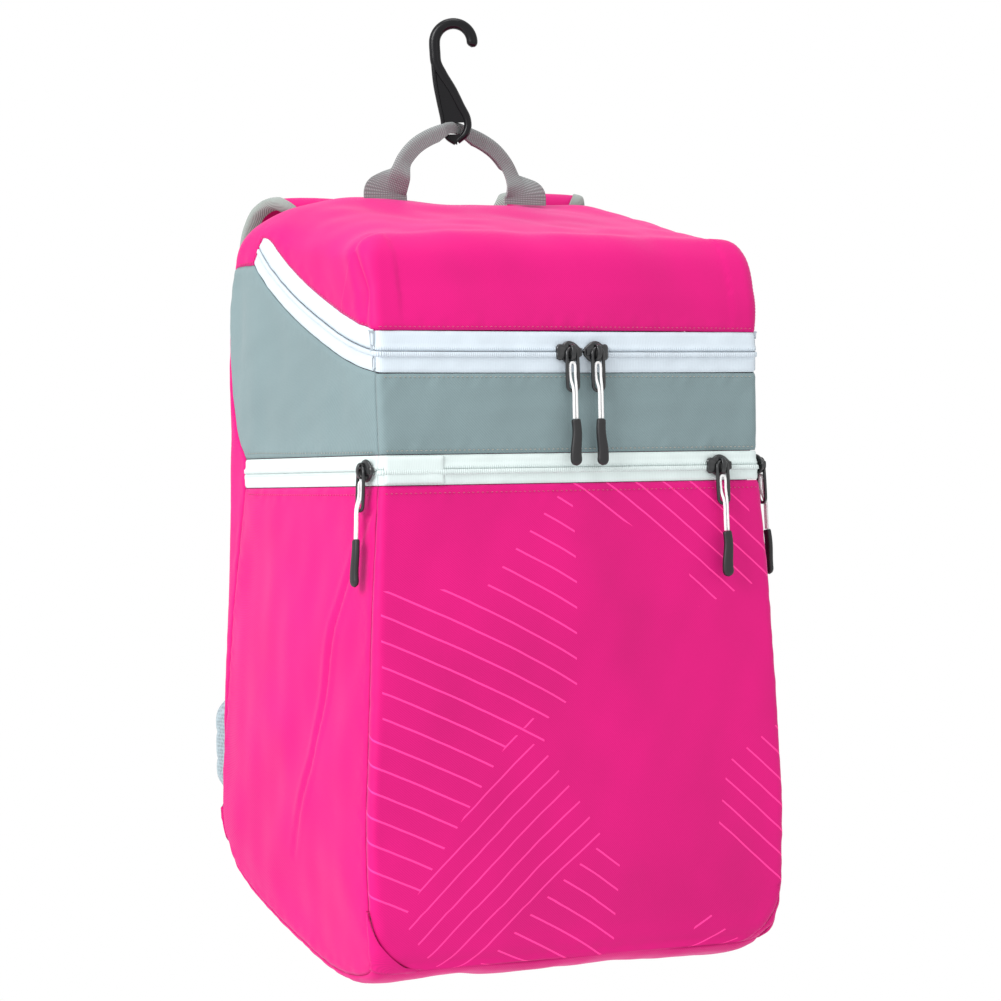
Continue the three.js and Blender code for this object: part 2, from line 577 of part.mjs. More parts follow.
function bailSolid() {
  const { width, rise, reach, thick } = BAIL;
  const shape = new THREE.Shape([[-reach / 2, 0], [reach / 2, 0], [reach / 2, rise * 0.6],
    [reach / 2 - rise * 0.4, rise], [-reach / 2 + rise * 0.4, rise], [-reach / 2, rise * 0.6]]
    .map(([z, out]) => new THREE.Vector2(z, out)));
  const hole = [[-reach / 2 + thick, -0.01], [-reach / 2 + thick, rise * 0.5],
    [-reach / 2 + rise * 0.55, rise - thick], [reach / 2 - rise * 0.55, rise - thick],
    [reach / 2 - thick, rise * 0.5], [reach / 2 - thick, -0.01]];
  const open = new THREE.Shape(hole.map(([z, out]) => new THREE.Vector2(z, out)));
  const solidOf = (drawn) => {
    const geometry = new THREE.ExtrudeGeometry(drawn, { depth: width, bevelEnabled: false });
    geometry.applyMatrix4(new THREE.Matrix4().makeBasis(vec(0, 0, 1), vec(0, -1, 0),
      vec(1, 0, 0)));
    return toManifold(geometry.translate(-width / 2, -SLIDER.thick + 0.01, 0));
  };
  return solidOf(shape).subtract(solidOf(open));
}

function addPull(name, middle, turn, nose) {
  const group = new THREE.Group();
  const angle = THREE.MathUtils.degToRad(turn);
  const [half, tall] = [SLIDER.length / 2, SLIDER.height / 2];
  const local = (x, z) => vec(x, 0, z).applyAxisAngle(vec(0, 0, 1), angle).add(middle);
  const out = vec(0, -1, 0).applyAxisAngle(vec(0, 0, 1), angle);
  const under = [local(-half, -tall), local(half, -tall), local(-half, tall), local(half, tall)]
    .map((corner) => touchBag(corner, out));
  const stand = Math.max(...under);
  const hang = touchBag(local(0, RING_TOP - RING.length - GRIP_DROP - GRIP.length / 2), out);
  group.position.copy(middle).addScaledVector(out, stand - middle.dot(out));
  group.rotation.z = angle;
  pieces.add(group);
  const hard = { roughness: 0.3, metalness: 0.4 };
  const hanging = new THREE.Group();
  hanging.position.set(0, ringY, RING_TOP);
  const drop = RING.length + GRIP_DROP + GRIP.length / 2;
  hanging.rotation.x = -Math.atan(Math.max(hang - stand + GAP, 0) / drop);
  group.add(hanging);
  const put = (part, geometry, colour, finish) => {
    const mesh = add(`${part}_${name}`, geometry, colour, finish);
    const parent = part === 'slider' ? group : hanging;
    parent.add(mesh);
    if (parent === hanging) mesh.position.copy(hanging.position).negate();
  };
  const body = toManifold(plate(sliderShape(nose), -SLIDER.thick, 0, 5, 0.6));
  put('slider', body.add(bailSolid()), COLOURS.hardware, hard);
  const ring = stadium(RING.width, RING.length, RING_TOP);
  ring.holes.push(stadium(RING.width - RING.bar * 2, RING.length - RING.bar * 2,
    RING_TOP - RING.bar));
  put('ring', plate(ring, ringY, ringY + RING.bar, 3), COLOURS.hardware, hard);
  const foot = RING_TOP - RING.length + RING.bar;
  const cordY = ringY + RING.bar / 2;
  const gripTop = foot - RING.bar - GRIP_DROP;
  const before = ringY - PULL_CORD / 2 - GAP;
  const beside = PULL_CORD / 2 + GAP / 2;
  const wide = RING.width / 2 - RING.bar - GAP - PULL_CORD / 2;
  const top = -BAIL.reach / 2 - GAP - PULL_CORD / 2;
  const rise = [
    vec(-beside, before, gripTop + GAP),
    vec(-beside, before, gripTop + GRIP_DROP * 0.55),
    vec(-beside, before, foot - RING.bar * 0.5),
    vec(-beside * 1.2, before + RING.bar * 0.25, foot + PULL_CORD * 1.2),
    vec(-wide * 0.9, cordY - RING.bar * 0.3, foot + PULL_CORD * 3),
    vec(-wide, cordY, (foot + top) / 2 + GAP),
    vec(-wide, cordY, top - wide * 1.3),
    vec(-wide * 0.75, cordY, top - wide * 0.35),
  ];
  const fall = rise.map((point) => point.clone().setX(-point.x)).reverse();
  const strand = smooth([...rise, vec(0, cordY, top), ...fall]);
  put('cord', sweep(strand, PULL_CORD, 26), COLOURS.cord);
  const grip = stadium(GRIP.width, GRIP.length, gripTop);
  put('grip', plate(grip, before - GRIP.thick / 2, before + GRIP.thick / 2, 4, 1),
    COLOURS.hardware);
}

// A round cord along a curve, with eight sides
function sweep(curve, diameter, steps) {
  const across = new THREE.Shape();
  across.absarc(0, 0, diameter / 2, 0, Math.PI * 2, false);
  return new THREE.ExtrudeGeometry(across, { steps, curveSegments: 4, extrudePath: curve });
}

const BAG_FACE = new THREE.Mesh(toGeometry(bag(0)), new THREE.MeshBasicMaterial());

// How far the bag's skin lies along a direction out, straight out from a point inside it
function touchBag(inside, out) {
  const from = inside.clone().addScaledVector(out, FAR - inside.dot(out));
  const hit = new THREE.Raycaster(from, out.clone().negate()).intersectObject(BAG_FACE)[0];
  return hit.point.dot(out) + GAP;
}

function addPulls() {
  const lidSlit = zipLine.getPoint(1 / LID_ZIP.length).z;
  const slit = (POCKET_ZIP_LOW + POCKET_ZIP_HIGH) / 2;
  const half = SLIDER.length / 2 + GAP;
  addPull('lid_left', vec(MAIN_SLIDER_X - half, 0, lidSlit), 0, 1);
  addPull('lid_right', vec(MAIN_SLIDER_X + half, 0, lidSlit), 0, -1);
  addPull('front', vec(FRONT_SLIDER_X, 0, slit), 0, 1);
  addPull('side_left', vec(0, SIDE_SLIDER_Y.left, slit), -90, 1);
  addPull('side_right', vec(0, SIDE_SLIDER_Y.right, slit), 90, -1);
}

// Straps and webbing are ribbons: at each place a middle, a direction across, a width, a thickness

function ribbon(places, chamfered = true) {
  return loft(places.map((place, i) => {
    const before = places[Math.max(i - 1, 0)].at;
    const after = places[Math.min(i + 1, places.length - 1)].at;
    const along = after.clone().sub(before).normalize();
    const out = along.clone().cross(place.across).normalize();
    const [w, t] = [place.width / 2, place.thick / 2];
    const chamfer = Math.min(w, t) * 0.45;
    const corners = chamfered ? [[w, t - chamfer], [w - chamfer, t], [-w + chamfer, t],
      [-w, t - chamfer], [-w, -t + chamfer], [-w + chamfer, -t], [w - chamfer, -t],
      [w, -t + chamfer]] : [[w, t], [-w, t], [-w, -t], [w, -t]];
    return corners.map(([side, rise]) => place.at.clone().addScaledVector(place.across, side)
      .addScaledVector(out, rise));
  }));
}

const strapPlaces = (flop) => STRAP.map((row) => ({
  at: vec((row.inner + row.outer) / 2 * BODY_WIDTH + row.flop * flop,
    FRONT + row.behind * BODY_DEPTH + STRAP_STAND, row.height * BODY_HEIGHT),
  across: vec(1, 0, 0), width: (row.outer - row.inner) * BODY_WIDTH, thick: STRAP_THICK,
}));

function mirror(geometry) {
  const other = geometry.clone().applyMatrix4(new THREE.Matrix4().makeScale(-1, 1, 1));
  other.setIndex(Array.from(other.index.array).reverse());
  return other;
}

// Left and right copies, each cut back to lie on its own side of the bag
function addSeated(name, solidFor, colour) {
  const rightFace = bag(-GAP);
  const leftFace = toManifold(mirror(toGeometry(rightFace)));
  const left = solidFor(0).subtract(leftFace);
  add(`${name}_left`, mirror(toGeometry(left)), colour);
  add(`${name}_right`, solidFor(STRAP_FLOP).subtract(rightFace), colour);
}

function addPair(name, geometry, colour, finish) {
  add(`${name}_left`, mirror(geometry), colour, finish);
  add(`${name}_right`, geometry, colour, finish);
}

// A tape folded round both edges and the tip of the strap, from solids of the strap's own shape
function bindingSolid(places) {
  const grown = (side, face, tip) => {
    const rows = places.map((p) => ({ ...p, width: p.width + side * 2, thick: p.thick + face * 2 }));
    const last = rows.at(-1);
    const end = places.at(-1).at.clone().sub(places.at(-2).at).setLength(tip);
    rows.push({ ...last, at: last.at.clone().add(end) });
    const start = places[0].at.clone().sub(places[1].at).setLength(STRAP_THICK - face);
    rows.unshift({ ...rows[0], at: rows[0].at.clone().add(start) });
    if (tip < 0) rows.splice(-2, 1);
    return toManifold(ribbon(rows, false));
  };
  const cover = GAP + BINDING.thick;
  return grown(cover, cover, cover).subtract(grown(GAP, GAP, GAP))
    .subtract(grown(-BINDING.width, STRAP_THICK, -BINDING.width));
}

function addStraps() {
  addSeated('shoulder_strap', (flop) => toManifold(ribbon(strapPlaces(flop))), COLOURS.pink);
  addSeated('strap_binding', (flop) => bindingSolid(strapPlaces(flop)), COLOURS.binding);
}

const padLow = PAD_MIDDLE * BODY_HEIGHT - PAD.tall / 2;
const padHigh = padLow + PAD.tall;
const strapTip = STRAP.at(-1).height * BODY_HEIGHT - GAP * 2 - BINDING.thick;

const webPlaces = WEB_ROUTE.map((row) => {
  const marks = [WEB_END * BODY_HEIGHT, padLow, padHigh, strapTip];
  const from = Math.min(Math.floor(row.up + 1), 2);
  const z = marks[from] + (marks[from + 1] - marks[from]) * (row.up + 1 - from);
  const y = BACK + row.out * (PAD.thick + WEBBING.thick / 2 + GAP);
  return { at: vec(row.across * BODY_WIDTH, y, z), across: vec(1, 0, 0),
    width: WEBBING.width, thick: WEBBING.thick };
});

function addStrapEnds() {
  const seat = webPlaces[1].at;
  const half = BUCKLE.width / 2;
  const frame = new THREE.Shape(boxPoints([-half, -BUCKLE.length / 2], [half, BUCKLE.length / 2])
    .map(([x, z]) => new THREE.Vector2(x, z)));
  const { slot } = BUCKLE;
  const opening = (middle) => new THREE.Path(boxPoints(
    [-WEBBING.width / 2 - 1, middle - slot / 2], [WEBBING.width / 2 + 1, middle + slot / 2])
    .map(([x, z]) => new THREE.Vector2(x, z)));
  frame.holes.push(opening(-slot), opening(slot));
  const behind = seat.y + WEBBING.thick / 2 + GAP * 2;
  const buckle = plate(frame, behind, behind + BUCKLE.thick, 1);
  buckle.translate(seat.x, 0, seat.z);
  addSeated('strap_webbing', () => toManifold(ribbon(webPlaces)), COLOURS.webbing);
  addPair('strap_buckle', toGeometry(toManifold(buckle)), COLOURS.hardware);
}

// Padded lower back, cut to lie on the back panel
function addBackPad() {
  const { width, tall, thick, corner, edge } = PAD;
  const half = width / 2;
  const shape = new THREE.Shape();
  shape.absarc(half - corner, corner, corner, -Math.PI / 2, 0, false);
  shape.absarc(half - corner, tall - corner, corner, 0, Math.PI / 2, false);
  shape.absarc(-half + corner, tall - corner, corner, Math.PI / 2, Math.PI, false);
  shape.absarc(-half + corner, corner, corner, Math.PI, Math.PI * 1.5, false);
  const geometry = plate(shape, BACK - edge, BACK + thick, 4, edge);
  const pad = toManifold(geometry.translate(0, 0, padLow)).subtract(bag(-GAP));
  add('back_pad', pad, COLOURS.mesh);
}

// Carry handle: flat webbing at the feet, folded in two where the hand and the hook go

function addHandle() {
  const top = HANG.z - HOOK_DROP - HOOK_SLOT.height + HANDLE_FOLD.height / 2 + GAP;
  const lean = Math.tan(THREE.MathUtils.degToRad(HANDLE_SKEW.turn));
  const half = HANDLE.map((row) => {
    const x = row.across * HANDLE_SPAN / 2;
    const foot = touchBag(vec(HANDLE_SPAN / 2, HANDLE_Y, 0), vec(0, 0, 1)) - WALL;
    return { x, z: foot + (top - foot) * row.rise, fold: row.fold };
  });
  const place = (row, sign) => ({
    at: vec(sign * row.x, HANDLE_Y + sign * Math.min(row.x, HANDLE_SKEW.reach) * lean * row.fold, row.z),
    width: THREE.MathUtils.lerp(HANDLE_WIDTH, HANDLE_FOLD.height, row.fold),
    thick: THREE.MathUtils.lerp(HANDLE_THICK, HANDLE_FOLD.thick, row.fold),
  });
  const places = [...half.map((row) => place(row, -1)), ...half.map((row) => place(row, 1))
    .reverse()];
  places.forEach((p, i) => {
    const before = places[Math.max(i - 1, 0)].at;
    const after = places[Math.min(i + 1, places.length - 1)].at;
    const along = after.clone().sub(before);
    p.across = vec(-along.z, 0, along.x).normalize();
  });
  add('carry_handle', toManifold(ribbon(places)).subtract(bag(-GAP)), COLOURS.webbing);
}

// Fence hook: a curl at the top, a shank that widens downwards and a slot for the handle. Rows are
// shares of HOOK_MOUTH for the curl and of HOOK_DROP for the shank, drawn from the hook's face.
function addHook() {
  const radius = HOOK_MOUTH / 2;
  const arc = (r, from, to, steps) => Array.from({ length: steps + 1 }, (_, i) => {
    const angle = THREE.MathUtils.degToRad(from + (to - from) * i / steps);
    return [r * Math.cos(angle), -radius + r * Math.sin(angle)];
  });
  const shank = (rows) => rows.map(([x, z]) => [x * HOOK_DROP, z * HOOK_DROP]);
  const outer = arc(radius + HOOK_ROD, HOOK_TIP, 180, 12);
  const left = shank([[-0.262, -0.36], [-0.238, -0.53], [-0.185, -0.79], [-0.160, -1.00],
    [-0.155, -1.13], [-0.075, -1.25], [-0.010, -1.285]]);
  const right = shank([[0.050, -1.25], [0.178, -1.13], [0.190, -1.02], [0.120, -0.84],
    [0.035, -0.66], [-0.070, -0.48], [-0.135, -0.36]]);
  const inner = arc(radius, 180, HOOK_TIP, 10);
  const end = arc(radius + HOOK_ROD / 2, HOOK_TIP, HOOK_TIP, 1)[0];
  const tip = [40, 80, 120, 150].map((turn) => {
    const angle = THREE.MathUtils.degToRad(HOOK_TIP + 180 + turn);
    return [end[0] + Math.cos(angle) * HOOK_ROD / 2, end[1] + Math.sin(angle) * HOOK_ROD / 2];
  });
  const outline = [...outer, ...left, ...right, ...inner, ...tip];
  const shape = new THREE.Shape(outline.map(([x, z]) => new THREE.Vector2(x, z)));
  const { width, height, shift } = HOOK_SLOT;
  shape.holes.push(new THREE.Path(boxPoints([shift - width / 2, -HOOK_DROP - height],
    [shift + width / 2, -HOOK_DROP]).map(([x, z]) => new THREE.Vector2(x, z))));
  const hook = plate(shape, -HOOK_THICK / 2, HOOK_THICK / 2, 4, HOOK_BEVEL);
  hook.rotateZ(THREE.MathUtils.degToRad(HOOK_TURN));
  add('fence_hook', toManifold(hook.translate(HANG.x, HANG.y, HANG.z)), COLOURS.hardware,
    { roughness: 0.25 });
}

addPanels();
addZips();
addPocketWalls();
addPulls();
addStraps();
addStrapEnds();
addBackPad();
addHandle();
addHook();

export default pieces;
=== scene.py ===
"""Baseball bat backpack, hung up by the hook on its carry handle.

Metres, +Z up, -Y towards the front pocket. The frame's origin is the point where the hook hangs.
The pieces are drawn from the middle of the bag's base and then moved to that origin.
"""

import bpy
import numpy as np
from mathutils import Matrix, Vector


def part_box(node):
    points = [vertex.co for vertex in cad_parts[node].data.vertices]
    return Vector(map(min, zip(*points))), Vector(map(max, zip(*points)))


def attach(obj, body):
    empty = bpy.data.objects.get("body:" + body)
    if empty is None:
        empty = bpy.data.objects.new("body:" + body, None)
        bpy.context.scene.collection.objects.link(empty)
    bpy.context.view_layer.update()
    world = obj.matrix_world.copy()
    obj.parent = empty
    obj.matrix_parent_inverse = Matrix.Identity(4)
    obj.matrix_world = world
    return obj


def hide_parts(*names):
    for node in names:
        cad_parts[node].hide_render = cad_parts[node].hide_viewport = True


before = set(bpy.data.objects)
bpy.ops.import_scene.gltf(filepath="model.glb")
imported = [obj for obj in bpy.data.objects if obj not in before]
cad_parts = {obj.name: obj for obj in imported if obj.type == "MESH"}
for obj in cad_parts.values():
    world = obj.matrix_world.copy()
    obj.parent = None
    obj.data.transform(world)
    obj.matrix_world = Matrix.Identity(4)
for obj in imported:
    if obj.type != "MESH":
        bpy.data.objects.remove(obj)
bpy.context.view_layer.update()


# Studio
# The bag hangs in white air above a round pale floor, lit from all sides and a little more from
# the left, the front and above. The camera stands at the height of its middle, out to its left.

camera_place = (-1.21355, -2.23715, -0.30801)
camera_turn, camera_tilt, camera_roll = np.radians([-29.08, 0.30, -0.99])
ahead = np.array([-np.sin(camera_turn) * np.cos(camera_tilt),
                  np.cos(camera_turn) * np.cos(camera_tilt), -np.sin(camera_tilt)])
level = np.array([np.cos(camera_turn), np.sin(camera_turn), 0])
upward = np.cross(level, ahead)
to_right = level * np.cos(camera_roll) + upward * np.sin(camera_roll)
to_top = upward * np.cos(camera_roll) - level * np.sin(camera_roll)

camera = bpy.data.objects.new("camera", bpy.data.cameras.new("camera"))
camera.data.sensor_width = 36
camera.data.lens = 134.38
pose = np.eye(4)
pose[:3, :4] = np.stack([to_right, to_top, -ahead, camera_place], 1)
camera.matrix_world = Matrix(pose.tolist())
bpy.context.scene.collection.objects.link(camera)
bpy.context.scene.camera = camera
bpy.context.scene.view_settings.view_transform = "Standard"


def add_lamp(name, place, aim, size, power):
    """A square area lamp at a place, turned so that it shines at the point aim."""
    lamp = bpy.data.lights.new(name, "AREA")
    lamp.size = size
    lamp.energy = power
    holder = bpy.data.objects.new(name, lamp)
    toward = Matrix.Translation(place).to_translation() - Matrix.Translation(aim).to_translation()
    holder.matrix_world = Matrix.Translation(place) @ toward.to_track_quat("Z", "Y").to_matrix().to_4x4()
    bpy.context.scene.collection.objects.link(holder)


lamp_aim = (0, 0, -0.37)
add_lamp("key_lamp", (-2.3, -0.9, 0.9), lamp_aim, 1.2, 60)
add_lamp("front_lamp", (0.3, -2.8, 0.4), lamp_aim, 1.4, 3)
add_lamp("top_lamp", (-0.3, -0.3, 1.6), lamp_aim, 1.0, 14)

world = bpy.data.worlds.new("studio_air")
world.use_nodes = True
world.node_tree.nodes["Background"].inputs["Color"].default_value = (1, 1, 1, 1)
world.node_tree.nodes["Background"].inputs["Strength"].default_value = 1.0
bpy.context.scene.world = world


def new_material(name, colour, roughness, **sockets):
    """A material with one shader. Each further word names a socket of it, with _ for a space."""
    made = bpy.data.materials.new(name)
    made.use_nodes = True
    shader = made.node_tree.nodes["Principled BSDF"]
    shader.inputs["Base Color"].default_value = (*colour, 1)
    shader.inputs["Roughness"].default_value = roughness
    for socket, value in sockets.items():
        shader.inputs[socket.replace("_", " ")].default_value = value
    return made


def add_node(made, kind, inputs, **settings):
    """A node in a material. Each input is a number, a colour or another node's output."""
    node = made.node_tree.nodes.new("ShaderNode" + kind)
    for setting, value in settings.items():
        setattr(node, setting, value)
    for socket, value in inputs.items():
        if isinstance(value, bpy.types.NodeSocket):
            made.node_tree.links.new(value, node.inputs[socket])
        else:
            node.inputs[socket].default_value = value
    return node.outputs


def feed(made, socket, value):
    """Leads an output into a socket of the material's shader."""
    made.node_tree.links.new(value, made.node_tree.nodes["Principled BSDF"].inputs[socket])


def laid(made, value, low, high, start=0.0, end=1.0):
    """A value that runs from start to end, laid between low and high."""
    return add_node(made, "MapRange", {"Value": value, "From Min": start, "From Max": end,
                                       "To Min": low, "To Max": high})["Result"]


def full_turn(count):
    return np.linspace(0, 2 * np.pi, count, endpoint=False)


def grid_runs(points):
    """How far each point of a grid lies down its column and over its row."""
    down = np.pad(np.cumsum(np.linalg.norm(np.diff(points, axis=0), axis=2), 0), ((1, 0), (0, 0)))
    over = np.pad(np.cumsum(np.linalg.norm(np.diff(points, axis=1), axis=2), 1), ((0, 0), (1, 0)))
    return down, over


def grid_faces(rows, columns, loop_rows=False, loop_columns=False):
    """Four corner numbers for each cell of a grid. A looped side joins its last line to its first."""
    i = np.arange(rows if loop_rows else rows - 1)[:, None]
    j = np.arange(columns if loop_columns else columns - 1)[None, :]
    corners = [(i, j), (i, j + 1), (i + 1, j + 1), (i + 1, j)]
    return np.stack([(a % rows) * columns + b % columns for a, b in corners], -1).reshape(-1, 4)


def sheet(points, uv=None, loop_rows=False, loop_columns=False, caps=False):
    """A shape from a grid of points: its corners, its faces and a UV pair for each face corner.
    Without uv, the pair is the distance along and across the grid, in metres. The faces of a
    closed shape are turned outwards by the sign of its volume."""
    rows, columns = points.shape[:2]
    if uv is None:
        down, over = grid_runs(points)
        uv = np.stack([over - over[:, -1:] / 2, down], -1)
    faces = grid_faces(rows, columns, loop_rows, loop_columns)
    wide = np.pad(uv, ((0, int(loop_rows)), (0, int(loop_columns)), (0, 0)), mode="edge")
    if loop_rows:
        wide[-1] = 2 * wide[-2] - wide[-3]
    if loop_columns:
        wide[:, -1] = 2 * wide[:, -2] - wide[:, -3]
    corner_uv = wide.reshape(-1, 2)[grid_faces(*wide.shape[:2])].reshape(-1, 2)
    flat = points.reshape(-1, 3)
    first, last = np.arange(columns)[::-1], (rows - 1) * columns + np.arange(columns)
    if caps or loop_rows and loop_columns:
        a, b, c, d = np.moveaxis(flat[faces], 1, 0)
        volume = np.sum(((a + b + c + d) / 4 - flat.mean(0)) * np.cross(c - a, d - b))
        if volume < 0:
            faces = faces[:, ::-1]
            corner_uv = corner_uv.reshape(-1, 4, 2)[:, ::-1].reshape(-1, 2)
            first, last = first[::-1], last[::-1]
    faces = faces.tolist()
    if caps:
        faces += [first.tolist(), last.tolist()]
        corner_uv = np.concatenate([corner_uv, uv.reshape(-1, 2)[first], uv.reshape(-1, 2)[last]])
    return flat, faces, corner_uv


def bar(rings):
    """A closed bar from rings of points, with both of its ends closed."""
    return sheet(rings, loop_columns=True, caps=True)


hang_point = np.array([0, 0.056, 0.625])
bag_middle = np.array([0, 0.0175, 0.244])


def add_piece(name, shape, made, slot, nodes=(), wall=0.0, inside=None, sharp=None):
    """A piece from a shape. A sheet gets a wall on the side of the point inside, a closed shape
    has its faces turned outwards. Corners sharper than sharp, in degrees, stay crisp."""
    points, faces, uv = shape
    mesh = bpy.data.meshes.new(name)
    mesh.from_pydata((points - hang_point).tolist(), [], faces)
    mesh.uv_layers.new(name="UVMap").data.foreach_set("uv", uv.ravel())
    mesh.update()
    mesh.materials.append(made)
    turned = 0.0
    if inside is not None:
        centre = np.zeros(len(mesh.polygons) * 3)
        mesh.polygons.foreach_get("center", centre)
        normal = np.zeros(len(mesh.polygons) * 3)
        mesh.polygons.foreach_get("normal", normal)
        away = centre.reshape(-1, 3) + hang_point - np.asarray(inside)
        turned = np.sum(away * normal.reshape(-1, 3))
    if turned < 0:
        mesh.flip_normals()
    mesh.shade_smooth()
    if sharp:
        mesh.set_sharp_from_angle(angle=np.radians(sharp))
    piece = bpy.data.objects.new(name, mesh)
    bpy.context.scene.collection.objects.link(piece)
    if wall:
        shell = piece.modifiers.new("wall", "SOLIDIFY")
        shell.thickness = wall
        shell.offset = -1
        shell.use_even_offset = False
    if slot:
        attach(piece, "root")
    if nodes:
        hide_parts(*nodes)
    return piece


floor_height = -1.1
floor_radius = np.array([0.02, 0.4, 0.9, 1.5, 2.0, 2.39, 2.40, 2.40, 2.38])
floor_rise = np.array([0, 0, 0, 0, 0, 0, -0.004, -0.03, -0.034])
way = full_turn(96)
floor = np.stack([floor_radius[:, None] * np.cos(way), floor_radius[:, None] * np.sin(way),
                  np.repeat(floor_rise[:, None], len(way), 1)], -1)
floor_paint = new_material("floor_paint", (0.9, 0.9, 0.9), 0.9)
speckle = add_node(floor_paint, "TexNoise", {"Scale": 3.0, "Detail": 2.0})
feed(floor_paint, "Base Color", laid(floor_paint, speckle["Fac"], 0.84, 0.90))
studio = add_piece("studio_floor", bar(floor + hang_point + [0, 0, floor_height]), floor_paint, None,
                   inside=(0, 0, -50))


# Pull cords
# Each zip pull has a white braided cord: it comes up out of the rubber grip, passes the ring's
# foot, runs up inside the ring, turns under the slider's bridge and comes down the same way.

ring_width, ring_length, ring_bar = 0.0105, 0.030, 0.0022
bridge_reach, bridge_bar = 0.011, 0.0014
cord_thick = 0.0018
grip_drop = 0.017
small_gap = 0.0003
pull_turn = {"lid_left": 0, "lid_right": 0, "front": 0, "side_left": -90, "side_right": 90}


def run_of(line):
    """How far each point of a line lies along it."""
    return np.concatenate([[0], np.cumsum(np.linalg.norm(np.diff(line, axis=0), axis=1))])


class PullFrame:
    """The place of one pull: across it, out from the bag and up, swung out a little at its foot."""

    def __init__(self, name):
        turn = np.radians(pull_turn[name])
        self.across = np.array([np.cos(turn), np.sin(turn), 0])
        self.out = np.array([np.sin(turn), -np.cos(turn), 0])
        slider_low, slider_high = (np.array(corner) + hang_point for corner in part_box("slider_" + name))
        ring_low, ring_high = (np.array(corner) + hang_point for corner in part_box("ring_" + name))
        depth = abs((ring_high - ring_low) @ self.out)
        self.swing = np.arcsin((depth - ring_bar) / ring_length)
        middle = (slider_low + slider_high) / 2
        seat = min(slider_low @ self.out, slider_high @ self.out)
        self.seat = middle + self.out * (seat - middle @ self.out)
        far = max(ring_low @ self.out, ring_high @ self.out) - ring_length * np.sin(self.swing)
        self.pivot = middle + self.out * (far - middle @ self.out)
        self.pivot[2] = ring_high[2]

    def on_slider(self, points):
        """Points given as across, out, up from the slider's seat."""
        x, out, up = np.moveaxis(np.asarray(points), -1, 0)[..., None]
        return self.seat + x * self.across + out * self.out + up * np.array([0, 0, 1])

    def hanging(self, points):
        """Points given as across, out, up from the ring's top, swung out by the swing."""
        x, out, up = np.moveaxis(np.asarray(points), -1, 0)[..., None]
        c, s = np.cos(self.swing), np.sin(self.swing)
        return (self.pivot + x * self.across + (out * c - up * s) * self.out
                + (out * s + up * c) * np.array([0, 0, 1]))


pulls = {name: PullFrame(name) for name in pull_turn}
ring_foot = -ring_length + ring_bar
bridge_foot = -bridge_reach + bridge_bar + small_gap
cord_out = -ring_bar / 2
cord_before = cord_thick / 2 + small_gap
cord_beside = cord_thick / 2 + small_gap / 2
cord_wide = ring_width / 2 - ring_bar - small_gap - cord_thick / 2
cord_top = bridge_foot - small_gap - cord_thick / 2
grip_top = ring_foot - ring_bar - grip_drop


def add_bump(made, height, strength, distance):
    """A bump of the surface by a height: its strength, and its distance in metres."""
    bump = add_node(made, "Bump", {"Height": height, "Strength": strength, "Distance": distance})
    feed(made, "Normal", bump["Normal"])


cord_white = new_material("pull_cord_braid", (0.80, 0.80, 0.77), 0.75, Sheen_Weight=0.3)
strand = add_node(cord_white, "TexCoord", {})
braid = add_node(cord_white, "TexWave", {"Vector": strand["Object"], "Scale": 900.0,
                                         "Distortion": 2.0}, bands_direction="DIAGONAL")
add_bump(cord_white, braid["Fac"], 0.5, 0.0003)
feed(cord_white, "Base Color", laid(cord_white, braid["Fac"], 0.62, 0.86))


def add_cord(name):
    """The cord as one open line with its own thickness, up one side and down the other."""
    rise = np.array([
        (-cord_beside, cord_before, grip_top + small_gap),
        (-cord_beside, cord_before, grip_top + grip_drop * 0.55),
        (-cord_beside, cord_before, ring_foot - ring_bar * 0.5),
        (-cord_beside * 1.2, cord_before - ring_bar * 0.25, ring_foot + cord_thick * 1.2),
        (-cord_wide * 0.9, cord_out + ring_bar * 0.3, ring_foot + cord_thick * 3),
        (-cord_wide, cord_out, (ring_foot + cord_top) / 2 + small_gap),
        (-cord_wide, cord_out, cord_top - cord_wide * 1.3),
        (-cord_wide * 0.75, cord_out, cord_top - cord_wide * 0.35),
    ])
    route = np.concatenate([rise, [(0, cord_out, cord_top)], rise[::-1] * (-1, 1, 1)])
    places = pulls[name].hanging(route) - hang_point
    line = bpy.data.curves.new("cord_" + name + "_braid", "CURVE")
    line.dimensions = "3D"
    line.bevel_depth = cord_thick / 2
    line.bevel_resolution = 3
    line.resolution_u = 6
    line.use_fill_caps = True
    spline = line.splines.new("BEZIER")
    spline.bezier_points.add(len(places) - 1)
    for knot, place in zip(spline.bezier_points, places):
        knot.co = place
        knot.handle_left_type = "AUTO"
        knot.handle_right_type = "AUTO"
    line.materials.append(cord_white)
    cord = bpy.data.objects.new("pull_cord_" + name, line)
    bpy.context.scene.collection.objects.link(cord)
    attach(cord, "root")
    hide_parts("cord_" + name)
    return cord, places[0], float(run_of(places)[-1])


pull_cords = {name: add_cord(name) for name in pulls}


# Front panel
# The front pocket's face is one piece of coated pink polyester twill with foam behind it. It wraps
# both front corners to the side seams and is cut round at its two lower corners. A bag this full
# pushes it out a little, and its edges are sewn down beside the seams.

body_width, body_depth, body_height = 0.284, 0.226, 0.508
front_y = -0.100
crown_roll, crown_drop = 0.062, 0.027
panel_swell, side_swell = 0.005, 0.006
cloth = 0.002

